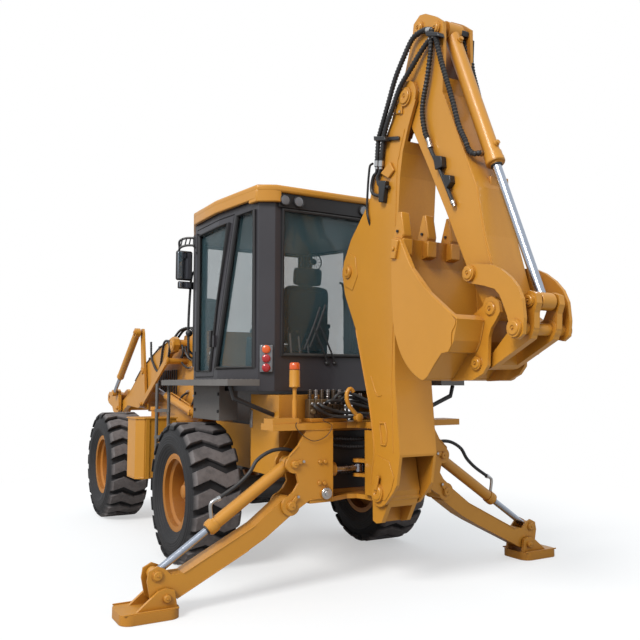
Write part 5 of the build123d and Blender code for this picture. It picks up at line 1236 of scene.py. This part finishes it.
# Loader: hoses that loop from the tower over the arm's hinge, with ribbed sleeves, pipes on the
# arms, elbows on the tower and the caps of the lift rams' pins.
for side_name, side in (("left", -1), ("right", 1)):
    for k, shift in enumerate((0.0, 0.038)):
        line = [(side * (0.300 + shift), 1.480, 1.930), (side * (0.330 + shift), 1.540, 1.985),
                (side * (0.395 + shift), 1.640, 1.965), (side * (0.430 + shift), 1.760, 1.880),
                (side * (0.470 + shift), 1.900, 1.815)]
        tube(f"loader_hose_{side_name}_{k}", line, 0.0125, "front_body", black_rubber, rib=0.16, step=0.011,
             bend=("loader_arms", (side * 0.395, 1.600, 1.960), (side * 0.450, 1.860, 1.820)))
    for k, x in enumerate((0.500, 0.540)):
        tube(f"arm_pipe_{side_name}_{k}",
             [(side * (0.470 + 0.040 * k), 1.900, 1.815), (side * x, 1.960, 1.805),
              (side * x, 2.100, 1.762), (side * x, 2.400, 1.662), (side * x, 2.640, 1.580),
              (side * x, 2.900, 1.444)], 0.009, "loader_arms", black_tube)
    for k, (y, z) in enumerate(((2.000, 1.776), (2.350, 1.666), (2.650, 1.562))):
        slab(f"arm_clamp_{side_name}_{k}", oblong((y - 0.016, z - 0.010), (y + 0.016, z + 0.034)), "x",
             *sorted((side * 0.488, side * 0.549)), "loader_arms", black_tube, 0.003)
    elbows = (((0.392, 1.588, 1.700), (0.440, 1.575, 1.690), (0.452, 1.540, 1.630), (0.430, 1.450, 1.575),
               (0.395, 1.380, 1.570)),
              ((0.392, 1.500, 1.790), (0.436, 1.480, 1.780), (0.446, 1.430, 1.720), (0.425, 1.380, 1.660),
               (0.392, 1.330, 1.640)),
              ((0.392, 1.480, 1.330), (0.440, 1.560, 1.270), (0.452, 1.560, 1.190), (0.440, 1.430, 1.130),
               (0.420, 1.330, 1.180), (0.392, 1.280, 1.290)))
    for k, line in enumerate(elbows):
        tube(f"tower_hose_{side_name}_{k}", [(side * x, y, z) for x, y, z in line], 0.0115, "front_body",
             black_rubber)
        for j, (x, y, z) in enumerate((line[0], line[-1])):
            turned(f"tower_fitting_{side_name}_{k}_{j}",
                   [(-0.004, 0), (-0.004, 0.016), (0.016, 0.016), (0.018, 0.012), (0.030, 0.012),
                    (0.031, 0)], spot(side * (x - 0.004), y, z), (side, 0, 0), "front_body", bright_steel,
                   sides=6)
    for k, (x,
            line) in enumerate(((0.565,
                                 ((2.231, 1.868), (2.183, 1.668), (1.930, 1.544), (1.792, 1.814),
                                  (1.660, 1.850), (1.588, 1.806), (1.635, 1.622))),
                                (0.470, ((1.609, 1.850), (1.515, 1.825), (1.451, 1.750), (1.477, 1.670))))):
        tube(f"arm_loop_{side_name}_{k}", [(side * x, y, z) for y, z in line], 0.0115, "front_body",
             black_rubber, rib=0.15, step=0.011,
             bend=("loader_arms", (side * x, line[-1][0], line[-1][1]), (side * x, line[0][0], line[0][1])))
    for y, z in ((1.180, 1.850), (1.180, 1.250), (1.620, 0.860), (1.830, 0.860), (1.400, 0.860)):
        turned(f"tower_bolt_{side_name}_{round(y * 100)}_{round(z * 100)}",
               [(0, 0), (0, 0.016), (0.011, 0.015), (0.013, 0.0)], spot(side * 0.390, y, z), (side, 0, 0),
               "front_body", yellow_coat, sides=6)
    tube(f"tower_seam_{side_name}", [(side * 0.391, y, z) for y, z in (
        (1.206, 1.026), (1.112, 1.162), (1.112, 1.450), (1.138, 1.872), (1.186, 1.936), (1.340, 1.936),
        (1.634, 1.898))], 0.0045, "front_body", yellow_coat, sides=6, straight=True)
    for label, y, z, r in (("lift_eye", 2.350, 1.350, 0.034), ("lift_base", 1.190, 1.120, 0.024)):
        turned(f"cap_{label}_{side_name}", [(0, 0), (0, r), (0.004, r), (0.007, r - 0.004), (0.007, 0)],
               spot(side * (0.470 if label == "lift_eye" else 0.494), y, z),
               (side * (-1 if label == "lift_eye" else 1), 0, 0),
               "loader_arms" if label == "lift_eye" else "front_body", yellow_coat)
    tube(f"arm_seam_{side_name}",
         [(side * 0.549, y, z) for y,
          z in ((1.640, 1.858), (2.090, 1.732), (2.640, 1.546), (3.120, 1.290), (3.430, 1.178))], 0.004,
         "loader_arms", yellow_coat, sides=6, straight=True)

# Hood: pressed louvres on both sides, a latch on each and a mesh grille on the nose; the intake
# drum on top has a ribbed bowl with a clamped lid.
for side_name, side in (("left", -1), ("right", 1)):
    for k in range(9):
        y = 1.980 + 0.075 * k
        slab(f"louvre_{side_name}_{k}", oblong((y - 0.022, 1.300), (y + 0.022, 1.560)), "x",
             *sorted((side * 0.349, side * 0.3585)), "front_body", black_plastic, 0.004)
    turned(f"hood_latch_{side_name}", [(0, 0), (0, 0.022), (0.006, 0.020), (0.008, 0.010), (0.008, 0.0)],
           spot(side * 0.350, 2.760, 1.420), (side, 0, 0), "front_body", bright_steel)
    slab(f"hood_bead_{side_name}", [(1.660, 1.180), (2.900, 1.180), (2.900, 1.196), (1.660, 1.196)], "x",
         *sorted((side * 0.349, side * 0.355)), "front_body", yellow_coat, 0.002)
for k in range(12):
    z = 1.160 + 0.034 * k
    y = 3.000 - 0.030 * (z - 1.080) / 0.540
    slab(f"grille_{k}", oblong((-0.280, z), (0.280, z + 0.018)), "y", y - 0.006, y + 0.012, "front_body",
         black_plastic, 0.003)
drum = turned("intake_drum",
              [(0, 0), (0, 0.090), (0.010, 0.092), (0.030, 0.088), (0.160, 0.088), (0.164, 0.096),
               (0.166, 0.126), (0.176, 0.129), (0.300, 0.129), (0.310, 0.124), (0.316, 0.100),
               (0.350, 0.098), (0.358, 0.088), (0.362, 0.050), (0.364, 0.0)], spot(-0.210, 1.460, 1.9255),
              (0, 0, 1), "front_body", black_plastic, sides=40)
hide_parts("air_intake")
for k in range(14):
    turn = 2 * math.pi * k / 14
    slab(f"intake_rib_{k}",
         oblong((-0.210 + 0.1275 * math.cos(turn) - 0.004, 1.460 + 0.1275 * math.sin(turn) - 0.004),
                (-0.210 + 0.1275 * math.cos(turn) + 0.004, 1.460 + 0.1275 * math.sin(turn) + 0.004)), "z",
         2.100, 2.222, "front_body", black_plastic, 0.002)

# Fuel tank: an orange filler cap on top, two straps down its rear face and the seam round
# its foot.
turned("fuel_cap", [(0, 0), (0, 0.044), (0.006, 0.047), (0.026, 0.047), (0.034, 0.042), (0.036, 0.0)],
       spot(-0.760, 1.400, 1.1500), (0, 0, 1), "front_body", lens_amber, sides=12)
for k, x in enumerate((-0.900, -0.700)):
    slab(f"tank_strap_{k}", oblong((x - 0.020, 1.171), (x + 0.020, 1.1795)), "z", 0.516, 1.080,
         "front_body", yellow_coat, 0.002)
tube("tank_seam",
     [(-0.999, 1.490, 0.530), (-0.999, 1.245, 0.530), (-0.932, 1.181, 0.530), (-0.640, 1.181, 0.530)],
     0.005, "front_body", yellow_coat, straight=True, sides=6)
